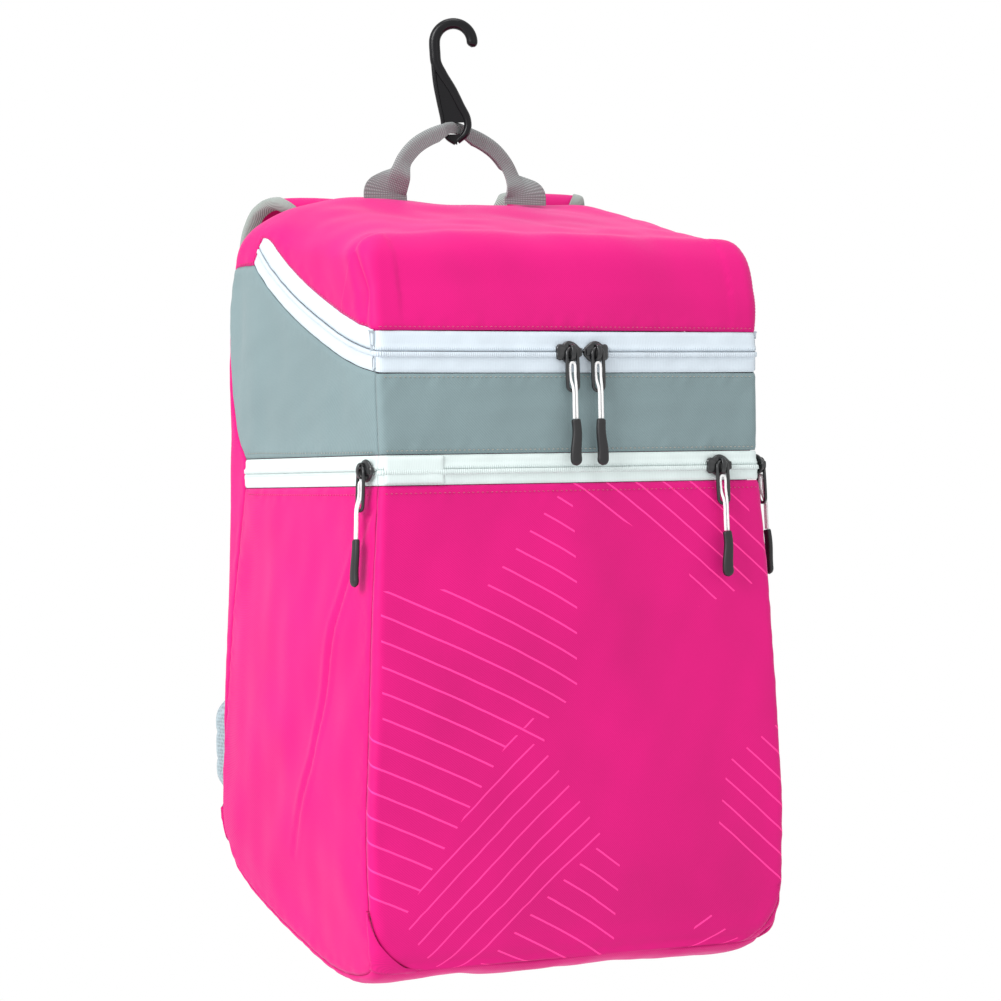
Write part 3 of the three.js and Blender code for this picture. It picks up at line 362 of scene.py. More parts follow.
# Side outline of the full bag, once round from the foot of the front over the lid and down the
# back. Shares: depth, height, roll and drop at the edge, swell, and those edges' share on the right.
outline = np.array([
    (0.004, 0.028, 0.22, 0.24, 0.1, 2.2), (-0.002, 0.059, 0.18, 0.20, 0.3, 1.0),
    (-0.011, 0.157, 0.08, 0.19, 0.8, 1.0), (-0.018, 0.295, 0.08, 0.19, 1.0, 1.0),
    (-0.015, 0.433, 0.08, 0.19, 1.0, 1.0), (-0.007, 0.551, 0.08, 0.19, 0.7, 1.0),
    (0.000, 0.620, 0.08, 0.19, 0.4, 1.0), (0.002, 0.657, 0.08, 0.19, 0.4, 1.0),
    (0.004, 0.709, 0.08, 0.19, 0.5, 1.0), (0.007, 0.758, 0.08, 0.19, 0.5, 1.0),
    (0.011, 0.811, 0.10, 0.22, 0.5, 0.9), (0.031, 0.866, 0.14, 0.30, 0.6, 0.9),
    (0.071, 0.917, 0.20, 0.40, 0.5, 0.7), (0.106, 0.933, 0.32, 0.52, 0.4, 0.6),
    (0.177, 0.941, 0.60, 0.72, 0.5, 0.6), (0.354, 0.959, 0.85, 0.90, 0.7, 0.6),
    (0.553, 0.980, 1.00, 1.00, 0.6, 0.6), (0.686, 0.996, 1.00, 1.00, 0.2, 0.6),
    (0.761, 1.000, 1.00, 1.00, 0.0, 0.6), (0.850, 0.990, 0.90, 0.90, 0.0, 0.6),
    (0.920, 0.961, 0.70, 0.75, 0.0, 0.6), (0.965, 0.917, 0.40, 0.55, 0.2, 0.7),
    (0.987, 0.866, 0.22, 0.42, 0.3, 1.0), (1.000, 0.797, 0.16, 0.37, 0.4, 1.0),
    (1.000, 0.657, 0.16, 0.37, 0.4, 1.0), (1.000, 0.472, 0.16, 0.37, 0.4, 1.0),
    (1.000, 0.295, 0.16, 0.37, 0.3, 1.0), (0.998, 0.207, 0.20, 0.40, 0.1, 1.6),
    (0.982, 0.173, 0.18, 0.32, 0.0, 2.0), (0.947, 0.142, 0.18, 0.32, 0.0, 2.0),
    (0.894, 0.116, 0.14, 0.24, 0.0, 3.4), (0.823, 0.095, 0.14, 0.24, 0.2, 3.4),
    (0.717, 0.073, 0.14, 0.24, 0.4, 3.4), (0.597, 0.051, 0.14, 0.24, 0.5, 3.4),
    (0.465, 0.030, 0.14, 0.24, 0.5, 3.4), (0.319, 0.009, 0.14, 0.24, 0.3, 3.4),
    (0.186, 0.000, 0.14, 0.24, 0.0, 3.4), (0.088, 0.003, 0.14, 0.24, 0.0, 3.4),
    (0.035, 0.011, 0.14, 0.24, 0.0, 3.4),
])

# Half of the width at a height, as shares
girth = np.array([
    (-0.01, 0.526), (0.06, 0.536), (0.18, 0.543), (0.30, 0.533), (0.40, 0.524), (0.47, 0.518),
    (0.55, 0.508), (0.62, 0.500), (0.66, 0.497), (0.72, 0.500), (0.79, 0.502), (0.87, 0.505),
    (0.93, 0.505), (1.01, 0.500),
])


def cubic(rows, slopes, gaps, share, first):
    """Between two rows, the cubic that leaves each with its own slope."""
    t, gap = share[..., None], gaps[first][..., None]
    second = (first + 1) % len(rows)
    return (rows[first] * (2 * t ** 3 - 3 * t ** 2 + 1) + rows[second] * (3 * t ** 2 - 2 * t ** 3)
            + gap * (slopes[first] * (t ** 3 - 2 * t ** 2 + t) + slopes[second] * (t ** 3 - t ** 2)))


def row_slopes(rows, gaps):
    """A row's slope: the slopes before and after it, each weighed by the other's length."""
    after = (np.roll(rows, -1, 0) - rows) / gaps[:, None]
    before, gap_before = np.roll(after, 1, 0), np.roll(gaps, 1)
    return (after * gap_before[:, None] + before * gaps[:, None]) / (gaps + gap_before)[:, None]


def through(table, at):
    """A smooth value read from a table of (place, value) rows."""
    gaps = np.append(np.diff(table[:, 0]), 1.0)
    rows = table[:, 1:]
    slopes = row_slopes(rows, gaps)
    slopes[0] = (rows[1] - rows[0]) / gaps[0]
    slopes[-1] = (rows[-1] - rows[-2]) / gaps[-2]
    at = np.clip(at, table[0, 0], table[-1, 0])
    first = np.clip(np.searchsorted(table[:, 0], at) - 1, 0, len(table) - 2)
    share = (at - table[first, 0]) / gaps[first]
    return cubic(rows, slopes, gaps, share, first)[..., 0]


def units(rows):
    """Each row divided by its length."""
    return rows / np.linalg.norm(rows, axis=-1, keepdims=True)


def half_width(z):
    return body_width * through(girth, z / body_height)


outline_rows = outline * (body_depth, body_height, crown_roll, crown_drop, panel_swell, 1)
outline_rows[:, 0] += front_y
row_gap = np.linalg.norm((np.roll(outline_rows, -1, 0) - outline_rows)[:, :2], axis=1)
rim_steps = 20
step_at = np.arange(len(outline_rows) * rim_steps)
rim = cubic(outline_rows, row_slopes(outline_rows, row_gap), row_gap,
            step_at % rim_steps / rim_steps, step_at // rim_steps)
rim_edge = units((np.roll(rim, -1, 0) - np.roll(rim, 1, 0))[:, :2])
rim = np.column_stack([rim, -rim_edge[:, 1], rim_edge[:, 0]])
rim_top = int(np.argmax(rim[:, 1]))
rim_low = int(np.argmin(rim[:, 1]))


def rim_at(z, *columns, back=False):
    """The rim's columns at a height, on its front half or its back half."""
    stretch = rim[rim_top:rim_low + 1][::-1] if back else rim[:rim_top + 1]
    return [np.interp(z, stretch[:, 1], stretch[:, column]) for column in columns]


class SideOutline:
    """One side's rim and the smaller line where its roll ends, by the turn about the middle."""

    def __init__(self, side):
        share = rim[:, 5] if side > 0 else 1.0
        self.roll, drop = rim[:, 2] * share, rim[:, 3] * share
        outer = rim[:, :2] - bag_middle[1:]
        inner = outer - rim[:, 6:8] * drop[:, None]
        self.outer = self.by_turn(outer, np.hypot(*outer.T))
        self.inner = self.by_turn(inner, np.hypot(*inner.T))
        self.rolls = self.by_turn(outer, self.roll)

    @staticmethod
    def by_turn(places, values):
        turn = np.arctan2(places[:, 1], places[:, 0])
        order = np.argsort(turn)
        return turn[order], values[order]


side_outlines = {-1: SideOutline(-1), 1: SideOutline(1)}


def side_face(y, z, side):
    """X of a side face: half the width, plus a bulge that falls with the square of the share from
    the middle to the rim, less a quarter ellipse over the roll at the rim."""
    lines = side_outlines[side]
    turn = np.arctan2(z - bag_middle[2], y - bag_middle[1])
    reach = np.hypot(y - bag_middle[1], z - bag_middle[2])
    outer, inner, roll = (np.interp(turn, *line, period=2 * np.pi)
                          for line in (lines.outer, lines.inner, lines.rolls))
    bulge = side_swell * np.clip(1 - (reach / inner) ** 2, 0, 1)
    over = np.clip((reach - inner) / (outer - inner), 0, 1)
    return side * (half_width(z) + bulge - roll * (1 - np.sqrt(1 - over ** 2)))


def over_corner(p, roll, drop, right):
    """A section's roll and drop at p, its share of the flat part and its turn over the corner."""
    share = np.where(p > 0, right, 1)
    turn = np.clip(np.abs(p) - 1, 0, 1) * np.pi / 2
    return roll * share, drop * share, np.minimum(np.abs(p), 1), turn


wall_reach = 0.1


def around(p, z, back=False):
    """A point of the front or back at a height. From the middle, p runs 0 to 1 over the flat part,
    to 2 over the corner's quarter ellipse, and on along the side by wall_reach for each unit."""
    y, roll, drop, swell, right = rim_at(z, 0, 2, 3, 4, 5, back=back)
    roll, drop, flat, turn = over_corner(p, roll, drop, right)
    along = np.maximum(np.abs(p) - 2, 0) * wall_reach
    deep = drop * (1 - np.cos(turn)) - swell * (1 - flat ** 2) + along
    place_y = y - deep if back else y + deep
    width = half_width(z)
    x = flat * (width - roll) + roll * np.sin(turn)
    on_side = np.where(p > 0, side_face(place_y, z, 1), -side_face(place_y, z, -1))
    x = np.where(np.abs(p) > 2, on_side, x)
    return np.stack([np.sign(p) * x, place_y, z + 0 * p], -1)


def past_rim(wrap, drop, right, side, reach=wall_reach):
    """The p at which a section has gone wrap deeper than the rim, over a corner that drops."""
    drop = drop * (right if side > 0 else 1)
    turned = 1 + np.arccos(np.clip(1 - wrap / drop, -1, 1)) / (np.pi / 2)
    return side * np.where(wrap < drop, turned, 2 + (wrap - drop) / reach)


def past_flat(x, flat, roll):
    """The p at which a section has gone x from the middle, over a corner that rolls past flat."""
    turned = 1 + np.arcsin(np.clip((x - flat) / roll, 0, 1)) / (np.pi / 2)
    return np.where(x < flat, x / flat, turned)


def around_limit(z, side, wrap, back=False):
    """The p at which around has gone wrap deeper than the rim."""
    return past_rim(wrap, *rim_at(z, 3, 5, back=back), side)


def spread(chart, rows, low, high, columns, trials=900):
    """A grid on a chart with its columns spaced evenly along the skin between two limits."""
    reach = low[:, None] + (high - low)[:, None] * np.linspace(0, 1, trials)
    step = np.linalg.norm(np.diff(chart(reach, rows[:, None]), axis=1), axis=2)
    run = np.pad(np.cumsum(step, 1), ((0, 0), (1, 0)))
    even = np.linspace(0, 1, columns) * run[:, -1:]
    place = np.stack([np.interp(*line) for line in zip(even, run, reach)])
    return chart(place, rows[:, None])


def ripple(points, length, seed, count=10):
    """Soft random waves: the sum of sines that run every way, each about one length long."""
    draw = np.random.default_rng(seed)
    way = units(draw.normal(size=(count, 3)))
    pitch = length * draw.uniform(0.7, 1.6, count)
    phase = draw.uniform(0, 2 * np.pi, count)
    return np.sin(points @ (way / pitch[:, None]).T * 2 * np.pi + phase).sum(-1) / np.sqrt(count)


def outward(points, inside=bag_middle):
    """The unit normal at each point of a grid, away from a point inside."""
    normal = np.cross(np.gradient(points, axis=1), np.gradient(points, axis=0))
    normal /= np.maximum(np.linalg.norm(normal, axis=-1, keepdims=True), 1e-12)
    return normal * np.sign(np.sum(normal * (points - inside)))


def from_edges(points, sides="tblr"):
    """How far each point of a grid lies from the nearest of the named edges: t and b are its first
    and last row, l and r its first and last column."""
    down, over = grid_runs(points)
    found = {"t": down, "b": down[-1:] - down, "l": over, "r": over[:, -1:] - over}
    return np.min([found[side] for side in sides], axis=0)


def sewn(points, seed, tuck=0.0010, pucker=0.0002, wrinkle=0.0006, length=0.06, sides="tblr",
         extra=0.0):
    """A panel's cloth: tucked in along its sewn edges, puckered beside them and softly wrinkled
    in between, each as a push along the panel's normal."""
    edge = from_edges(points, sides)
    push = -tuck * np.exp(-(edge / 0.0018) ** 2)
    push += pucker * ripple(points, 0.010, seed) * np.exp(-(edge - 0.004) ** 2 / 0.006 ** 2)
    loose = 1 - np.exp(-(edge / 0.014) ** 2)
    push += wrinkle * ripple(points, length, seed + 1) * loose
    push += wrinkle * 0.35 * ripple(points, length * 0.4, seed + 2) * loose
    return points + outward(points) * (push + extra)[..., None]


def reckon(made, operation, *values):
    """A Math node's output."""
    return add_node(made, "Math", dict(enumerate(values)), operation=operation)["Value"]


def add_shade(made, colour, tone):
    """The material's colour times a tone that varies over it. Returns the shaded colour."""
    shade = add_node(made, "VectorMath", {0: (*colour,), "Scale": tone}, operation="SCALE")
    feed(made, "Base Color", shade["Vector"])
    return shade["Vector"]


def twill(name, colour, scale, depth, roughness=0.62, mottle=0.10, **sockets):
    """Coated twill: fine diagonal ribs across the cloth's own UV, a slow change of tone, and a
    faint crosswise slub. Returns the material and its shaded colour."""
    made = new_material(name, colour, roughness, Sheen_Weight=0.14, Sheen_Roughness=0.40,
                        Specular_IOR_Level=0.18, **sockets)
    cloth_uv = add_node(made, "TexCoord", {})
    ribs = add_node(made, "TexWave", {"Vector": cloth_uv["UV"], "Scale": scale, "Distortion": 0.6,
                                      "Detail": 1.0, "Detail Scale": 2.0},
                    bands_direction="DIAGONAL")
    slub = add_node(made, "TexNoise", {"Vector": cloth_uv["UV"], "Scale": scale * 2.4, "Detail": 3.0})
    height = add_node(made, "Mix", {"Factor": 0.4, "A": ribs["Fac"], "B": slub["Fac"]})
    add_bump(made, height["Result"], depth, 0.0004)
    slow = add_node(made, "TexNoise", {"Vector": cloth_uv["Object"], "Scale": 9.0, "Detail": 3.0})
    tone = laid(made, slow["Fac"], 1 - mottle, 1 + mottle, 0.25, 0.75)
    fine = laid(made, height["Result"], 0.88, 1.12)
    return made, add_shade(made, colour, reckon(made, "MULTIPLY", tone, fine))


pink = (0.56, 0.003, 0.155)
pink_sheen = (1.0, 0.55, 0.95, 1)
pink_twill, _ = twill("pink_twill", pink, 400.0, 0.12, Sheen_Tint=pink_sheen)

front_low, front_corner = 0.0095, 0.038
pocket_zip_low, pocket_zip_high = 0.315, 0.3345
front_cut = front_y + 0.0054
seam_gap = 0.00015
corner_top = front_low + front_corner
corner_reach = float(half_width(corner_top)) - front_corner


def front_limit(z, side):
    """How far the front panel goes at a height: a quarter circle at its lower corner, then all the
    way round to the side seam."""
    y, roll, right = rim_at(z, 0, 2, 5)
    wrapped = np.abs(around_limit(z, side, np.maximum(front_cut - seam_gap - y, 0.001)))
    roll = roll * (right if side > 0 else 1)
    below = np.clip(corner_top - z, 0, front_corner)
    x = corner_reach + np.sqrt(front_corner ** 2 - below ** 2)
    rounded = past_flat(x, half_width(z) - roll, roll)
    return side * np.where(z < corner_top, np.minimum(rounded, wrapped), wrapped)


def add_panel(name, shape, made, slot, node, thick=cloth):
    """A sewn panel: a sheet that has its thickness on its inner side."""
    return add_piece(name, shape, made, slot, [node], wall=thick, inside=bag_middle)


corner_turn = np.linspace(0, np.pi / 2, 22)[1:]
front_rows = np.concatenate([[front_low], corner_top - front_corner * np.cos(corner_turn),
                             np.linspace(corner_top, pocket_zip_low - seam_gap, 112)[1:]])
front_grid = spread(around, front_rows, front_limit(front_rows, -1), front_limit(front_rows, 1), 150)
front_grid = sewn(front_grid, 11, wrinkle=0.0007, length=0.085)
front_cloth, front_shade = twill("front_pink_twill", pink, 400.0, 0.12, Sheen_Tint=pink_sheen)

# Fine tonal lines on the front: two families of thin parallel diagonals, each only in some patches
line_uv = add_node(front_cloth, "TexCoord", {})
line_part = add_node(front_cloth, "SeparateXYZ", {"Vector": line_uv["UV"]})
line_patches = add_node(front_cloth, "TexVoronoi", {"Vector": line_uv["UV"], "Scale": 10.0})
patch_tones = add_node(front_cloth, "SeparateColor", {"Color": line_patches["Color"]})
line_pitch, line_share, line_pink = 0.0165, 0.042, (0.92, 0.040, 0.285, 1)
stripes = []
for slope, tone in ((0.62, "Red"), (-0.75, "Green")):
    tilted = reckon(front_cloth, "MULTIPLY", line_part["X"], slope)
    climb = reckon(front_cloth, "ADD", tilted, line_part["Y"])
    share = reckon(front_cloth, "FRACT", reckon(front_cloth, "MULTIPLY", climb, 1 / line_pitch))
    stripe = reckon(front_cloth, "COMPARE", share, 0.5, line_share)
    chosen = reckon(front_cloth, "GREATER_THAN", patch_tones[tone], 0.5)
    stripes.append(reckon(front_cloth, "MULTIPLY", stripe, chosen))
either = reckon(front_cloth, "MAXIMUM", *stripes)
lined = add_node(front_cloth, "Mix", {"Factor": either, 6: front_shade, 7: line_pink},
                 data_type="RGBA")
feed(front_cloth, "Base Color", lined[2])
add_panel("front_panel_cloth", sheet(front_grid), front_cloth, "pink_twill", "front_panel")


# Side panels
# Each side is one pink panel from the base seam up to the pocket zip. On the full bag it swells,
# and one long soft fold runs from its upper front corner down and back.

hands = ((-1, "left"), (1, "right"))
base_seam = 0.005
back_wing = 0.031

# How far the back panel wraps round the side at a height, as shares
back_seam = np.array([
    (0.195, 0.13), (0.235, 0.15), (0.310, 0.29), (0.370, 0.40), (0.463, 0.58), (0.524, 0.74),
    (0.585, 0.90), (0.620, 1.00), (0.658, 1.00), (0.680, 0.65), (0.718, 0.42), (0.778, 0.25),
    (0.846, 0.19), (0.925, 0.17),
])


def back_edge(z):
    """Y of the seam between a side and the back at a height."""
    return rim_at(z, 0, back=True)[0] - back_wing * through(back_seam, z / body_height)


def along_run(at, run, line):
    """A line's columns at places along its run."""
    return np.stack([np.interp(at, run, column) for column in line.T], 1)


def side_points(y, z, side):
    return np.stack([side_face(y, z, side), y, z], -1)


def resampled(line, count):
    """The same line with its points spaced evenly."""
    run = run_of(line)
    return along_run(np.linspace(0, run[-1], count), run, line)


def patch(bottom, top, front, back):
    """Points (y, z) inside four edges: the mean of the two ways across less the corners' own."""
    a = np.linspace(0, 1, len(bottom))[None, :, None]
    t = np.linspace(0, 1, len(front))[:, None, None]
    straight = ((1 - t) * ((1 - a) * bottom[0] + a * bottom[-1])
                + t * ((1 - a) * top[0] + a * top[-1]))
    return ((1 - t) * bottom[None] + t * top[None] + (1 - a) * front[:, None] + a * back[:, None]
            - straight)


base_back = 0.099
side_front = front_cut + seam_gap
base_line = rim[int(np.argmin(np.abs(rim[:, 1] - base_back) + (rim[:, 0] < 0))):]
base_line = base_line[:, :2] - base_line[:, 6:8] * (base_seam + seam_gap)
base_line = base_line[base_line[:, 0] > side_front][::-1]
side_top = pocket_zip_low - seam_gap
back_rise = np.linspace(base_line[-1, 1], side_top, 90)

# The fold's line on the side, as y and z
side_fold = np.array([(-0.096, 0.306), (-0.088, 0.297), (-0.064, 0.255), (-0.050, 0.226),
                      (-0.042, 0.197), (-0.025, 0.141), (0.0035, 0.077)])
side_fold_deep, side_fold_wide = 0.0016, 0.0020


def fold_depth(y, z, line, depth, width):
    """A fold: a valley along a line with a low ridge on each side of it, fading at its ends."""
    fine = resampled(line, 120)
    away = np.hypot(y[..., None] - fine[:, 0], z[..., None] - fine[:, 1])
    nearest = np.argmin(away, -1)
    gap = np.min(away, -1)
    fade = np.sin(np.pi * np.clip(0.06 + nearest / 119 * 0.92, 0, 1)) ** 0.6
    valley = -np.exp(-(gap / width) ** 2) + 0.55 * np.exp(-((gap - 2.4 * width) / (1.6 * width)) ** 2)
    return depth * fade * valley


side_grids = {}
for side, hand in hands:
    bottom = resampled(base_line, 110)
    top = np.stack([np.linspace(side_front, back_edge(side_top), 110), np.full(110, side_top)], 1)
    front_rise = np.stack([np.full(120, side_front), np.linspace(bottom[0, 1], side_top, 120)], 1)
    behind = resampled(np.stack([back_edge(back_rise), back_rise], 1), 120)
    behind[0] = bottom[-1]
    y, z = np.moveaxis(patch(bottom, top, front_rise, behind), -1, 0)
    fold = fold_depth(y, z, side_fold, side_fold_deep, side_fold_wide)
    side_grids[hand] = sewn(side_points(y, z, side), 20 + side, wrinkle=0.0010, length=0.075,
                            extra=fold)
    add_panel("side_panel_cloth_" + hand, sheet(side_grids[hand]), pink_twill, "pink_twill",
              "side_panel_" + hand)


# Zips
# White woven tapes, each pair with a closed coil between them: a lid zip that runs from one side
# round the front to the other, and three level pocket zips. The front pocket's zip has a plain
# patch sewn over its start.

lid_zip_half, side_begins = 0.0135, -0.0949
tape_thick, tape_inset = 0.0012, 0.0004
tape_sunk, sunk_half, tape_ripple = 0.0008, 0.0012, 0.00015
slit_gap, sewn_under = 0.00014, 0.0004
coil_place, coil_half, coil_rise = 0.0022, 0.0016, 0.0004
slit_half, slit_depth = 0.0005, 0.0004
tooth_foot, tooth_top, tooth_narrowing = 0.0024, 0.0018, 0.6

# Middle of the lid zip, from in front of the bag back along its side, as shares
lid_zip = np.array([(-0.15, 0.786), (0.00, 0.786), (0.08, 0.793), (0.19, 0.808), (0.32, 0.830),
                    (0.46, 0.857), (0.60, 0.890), (0.69, 0.916), (0.741, 0.934)])
zip_rows = np.column_stack([front_y + lid_zip[:, 0] * body_depth, lid_zip[:, 1] * body_height])
zip_y = np.linspace(zip_rows[0, 0], zip_rows[-1, 0], 400)
zip_line = np.stack([zip_y, through(zip_rows, zip_y)], 1)
zip_along = units(np.gradient(zip_line, axis=0))
zip_run = run_of(zip_line)
zip_corner = float(np.interp(side_begins, zip_y, zip_run))


def beside_zip(run, offset):
    """Points (y, z) beside the lid zip's middle line on the side, above it for a positive offset."""
    y, z, along_y, along_z = (np.interp(run, zip_run, values)
                              for values in (*zip_line.T, *zip_along.T))
    along_z = along_z * np.clip((run - zip_corner) / 0.04, 0, 1)
    along_y = np.sqrt(1 - along_z ** 2)
    return y - along_z * offset, z + along_y * offset


def round_zip(q, offset):
    """The lid zip's chart: |q| up to 2 goes round the front as in around, and beyond 2 it goes on
    along the side by wall_reach for each unit."""
    side = np.sign(q)
    y = around(np.clip(q, -2, 2), np.full_like(q, zip_rows[1, 1]))[..., 1]
    height = np.interp(y, zip_y, zip_line[:, 1])
    front = around(np.clip(q, -2, 2), height + offset)
    run = zip_corner + np.maximum(np.abs(q) - 2, 0) * wall_reach
    y, z = beside_zip(run, offset)
    x = np.where(side > 0, side_face(y, z, 1), side_face(y, z, -1))
    return np.where(np.abs(q)[..., None] > 2, np.stack([x, y, z], -1), front)


def even_columns(chart, low, high, count):
    """Places between two limits of a chart, spaced evenly along its middle line."""
    trial = np.linspace(low, high, 3000)
    run = run_of(chart(trial))
    return np.interp(np.linspace(0, run[-1], count), run, trial)


def tape_relief(offset, half):
    """How a tape stands along its width: sunk at its sewn edge, plain, then raised over the coil
    and rounded down into the slit."""
    inner = np.abs(offset)
    return (-tape_inset - tape_sunk * np.exp(-((half - inner) / sunk_half) ** 2)
            + coil_rise * np.exp(-((inner - coil_place) / coil_half) ** 4)
            - slit_depth * np.exp(-(inner / slit_half) ** 2))


def joined(shapes):
    """Several shapes as one."""
    start = np.cumsum([0] + [len(shape[0]) for shape in shapes])
    faces = [[corner + int(first) for corner in face]
             for first, shape in zip(start, shapes) for face in shape[1]]
    return np.concatenate([s[0] for s in shapes]), faces, np.concatenate([s[2] for s in shapes])


def coil_teeth(points, pitch=0.0015, wide=0.0007, tall=0.0005):
    """The coil's turns beside the slit: a low block of five faces for each, on a line of points."""
    run = run_of(points[0])
    at = np.arange(pitch, run[-1] - pitch, pitch)
    middle, face, over = (along_run(at, run, values) for values in points)
    along = units(np.cross(over, face))
    low = [(-0.5, -0.5), (0.5, -0.5), (0.5, 0.5), (-0.5, 0.5)]
    corners = [middle + along * a * wide + over * b * tooth_foot for a, b in low]
    corners += [middle + along * a * wide * tooth_narrowing + over * b * tooth_top + face * tall
                for a, b in low]
    corners = np.stack(corners, 1)
    block = np.array([(0, 1, 5, 4), (1, 2, 6, 5), (2, 3, 7, 6), (3, 0, 4, 7), (4, 5, 6, 7),
                      (3, 2, 1, 0)])
    faces = (np.arange(len(at))[:, None, None] * 8 + block).reshape(-1, 4)
    return corners.reshape(-1, 3), faces.tolist(), np.zeros((len(faces) * 4, 2))


def woven_tape(name, colour):
    """Zip tape: a close plain weave in off-white, a little greyer where the weave is open."""
    made = new_material(name, colour, 0.72, Sheen_Weight=0.15, Specular_IOR_Level=0.3)
    uv = add_node(made, "TexCoord", {})
    rib = add_node(made, "TexWave", {"Vector": uv["UV"], "Scale": 260.0, "Distortion": 0.4})
    slow = add_node(made, "TexNoise", {"Vector": uv["Object"], "Scale": 60.0, "Detail": 3.0})
    tone = laid(made, slow["Fac"], 0.90, 1.06)
    weave = laid(made, rib["Fac"], 0.955, 1.02)
    add_shade(made, colour, reckon(made, "MULTIPLY", tone, weave))
    add_bump(made, rib["Fac"], 0.18, 0.0003)
    return made


tape_white = woven_tape("zip_tape_weave", (0.55, 0.62, 0.68))
pocket_tape = woven_tape("pocket_zip_tape_weave", (0.60, 0.68, 0.67))


def zip_tapes(name, chart, middle, half, places, made, hand=""):
    """Both tapes of a zip, each with its row of coil turns along the slit."""
    for part, sign in (("upper", 1), ("lower", -1)):
        share = np.concatenate([[0.0, 0.02, 0.05], np.linspace(0.09, 0.94, 11), [0.975, 1.0]])
        offset = sign * (slit_gap + (half - sewn_under) * share)
        q, rise = np.meshgrid(places, offset)
        grid = chart(q, middle + rise)
        face = outward(grid)
        grid = grid + face * tape_relief(rise, half)[..., None]
        grid = grid + face * (tape_ripple * ripple(grid, 0.012, 31))[..., None]
        line = grid[3] * 0.5 + grid[4] * 0.5 - face[3] * 0.0002
        teeth = coil_teeth((line, face[3], units(grid[5] - grid[3])))
        suffix = "_" + hand if hand else ""
        add_panel(name + "_" + part + suffix + "_weave", joined([sheet(grid), teeth]), made,
                  "zip_tape", name + "_tape_" + part + suffix, tape_thick * 0.8)


zip_end = 2 + (zip_run[-1] - zip_corner) / wall_reach
lid_places = even_columns(lambda q: round_zip(q, np.zeros_like(q)), -zip_end, zip_end, 300)
zip_tapes("lid_zip", round_zip, 0.0, lid_zip_half, lid_places, tape_white)

pocket_slit = (pocket_zip_low + pocket_zip_high) / 2
pocket_half = (pocket_zip_high - pocket_zip_low) / 2
front_start, front_end = (float(front_limit(np.array([pocket_slit]), side)[0]) for side in (-1, 1))
front_places = even_columns(lambda p: around(p, np.full_like(p, pocket_slit)), front_start,
                            front_end, 130)
zip_tapes("front_zip", around, pocket_slit, pocket_half, front_places, pocket_tape)

for side, hand in hands:
    side_places = np.linspace(side_front, front_y + body_depth - back_wing - small_gap, 90)
    zip_tapes("side_zip", lambda y, z, side=side: side_points(y, z, side), pocket_slit, pocket_half,
              side_places, pocket_tape, hand)

patch_length, patch_thick, patch_inset, patch_past_corner = 0.042, 0.001, 0.001, 0.0027
patch_from = float(half_width(pocket_slit)) - patch_past_corner
patch_x = -patch_from + np.linspace(0, patch_length, 30)
patch_z = np.linspace(pocket_zip_low + patch_inset, pocket_zip_high - patch_inset, 14)


def patch_point(x, z):
    """The point of the front at x, past the flat part by the corner's quarter ellipse."""
    roll = rim_at(z, 2)[0]
    return around(np.sign(x) * past_flat(np.abs(x), half_width(z) - roll, roll), z)


patch_grid = patch_point(*np.meshgrid(patch_x, patch_z))
patch_rise = 0.0008 - 0.0006 * np.exp(-(from_edges(patch_grid) / 0.0012) ** 2)
patch_grid = patch_grid + outward(patch_grid) * patch_rise[..., None]
add_panel("front_zip_start_patch", sheet(patch_grid), pocket_tape, "zip_tape", "front_zip_patch",
          patch_thick * 0.8)


# Bands
# Between the lid zip and the pocket zips runs a band of grey twill, in one piece across the front
# and one on each side, joined at the front corners and to the back panel's wings.

grey_twill, _ = twill("grey_twill", (0.178, 0.243, 0.255), 330.0, 0.35, roughness=0.7, mottle=0.07)

band_low = pocket_zip_high + seam_gap
band_rise = np.linspace(0, 1, 44)
front_band_high = zip_rows[1, 1] - lid_zip_half - seam_gap
band_rows = band_low + (front_band_high - band_low) * band_rise
band_grid = spread(around, band_rows, front_limit(band_rows, -1), front_limit(band_rows, 1), 150)
band_grid = sewn(band_grid, 41, wrinkle=0.0006, length=0.05)
add_panel("band_front_twill", sheet(band_grid), grey_twill, "grey_twill", "band_front")

lid_back = float(beside_zip(zip_run[-1], -lid_zip_half - seam_gap)[1])
band_grids = {}
for side, hand in hands:
    bottom = np.stack([np.linspace(side_front, back_edge(band_low), 120), np.full(120, band_low)], 1)
    along_zip = np.stack(beside_zip(np.linspace(zip_corner, zip_run[-1], 200),
                                    -lid_zip_half - seam_gap), 1)
    along_zip[0, 0] = side_front
    top = resampled(np.concatenate([along_zip, [(back_edge(lid_back), lid_back)]]), 120)
    front_rise = np.stack([np.full(60, side_front), np.linspace(band_low, top[0, 1], 60)], 1)
    behind_z = np.linspace(band_low, lid_back, 200)
    behind = resampled(np.stack([back_edge(behind_z), behind_z], 1), 60)
    y, z = np.moveaxis(patch(bottom, top, front_rise, behind), -1, 0)
    band_grids[hand] = sewn(side_points(y, z, side), 50 + side, wrinkle=0.0009, length=0.055)
    add_panel("band_side_twill_" + hand, sheet(band_grids[hand]), grey_twill, "grey_twill",
              "band_" + hand)


# Lid
# The top is one pink piece from the lid zip in front over the crown to the back seam. A dart at
# each front corner gives it its shape, and the empty crown falls away softly behind it.

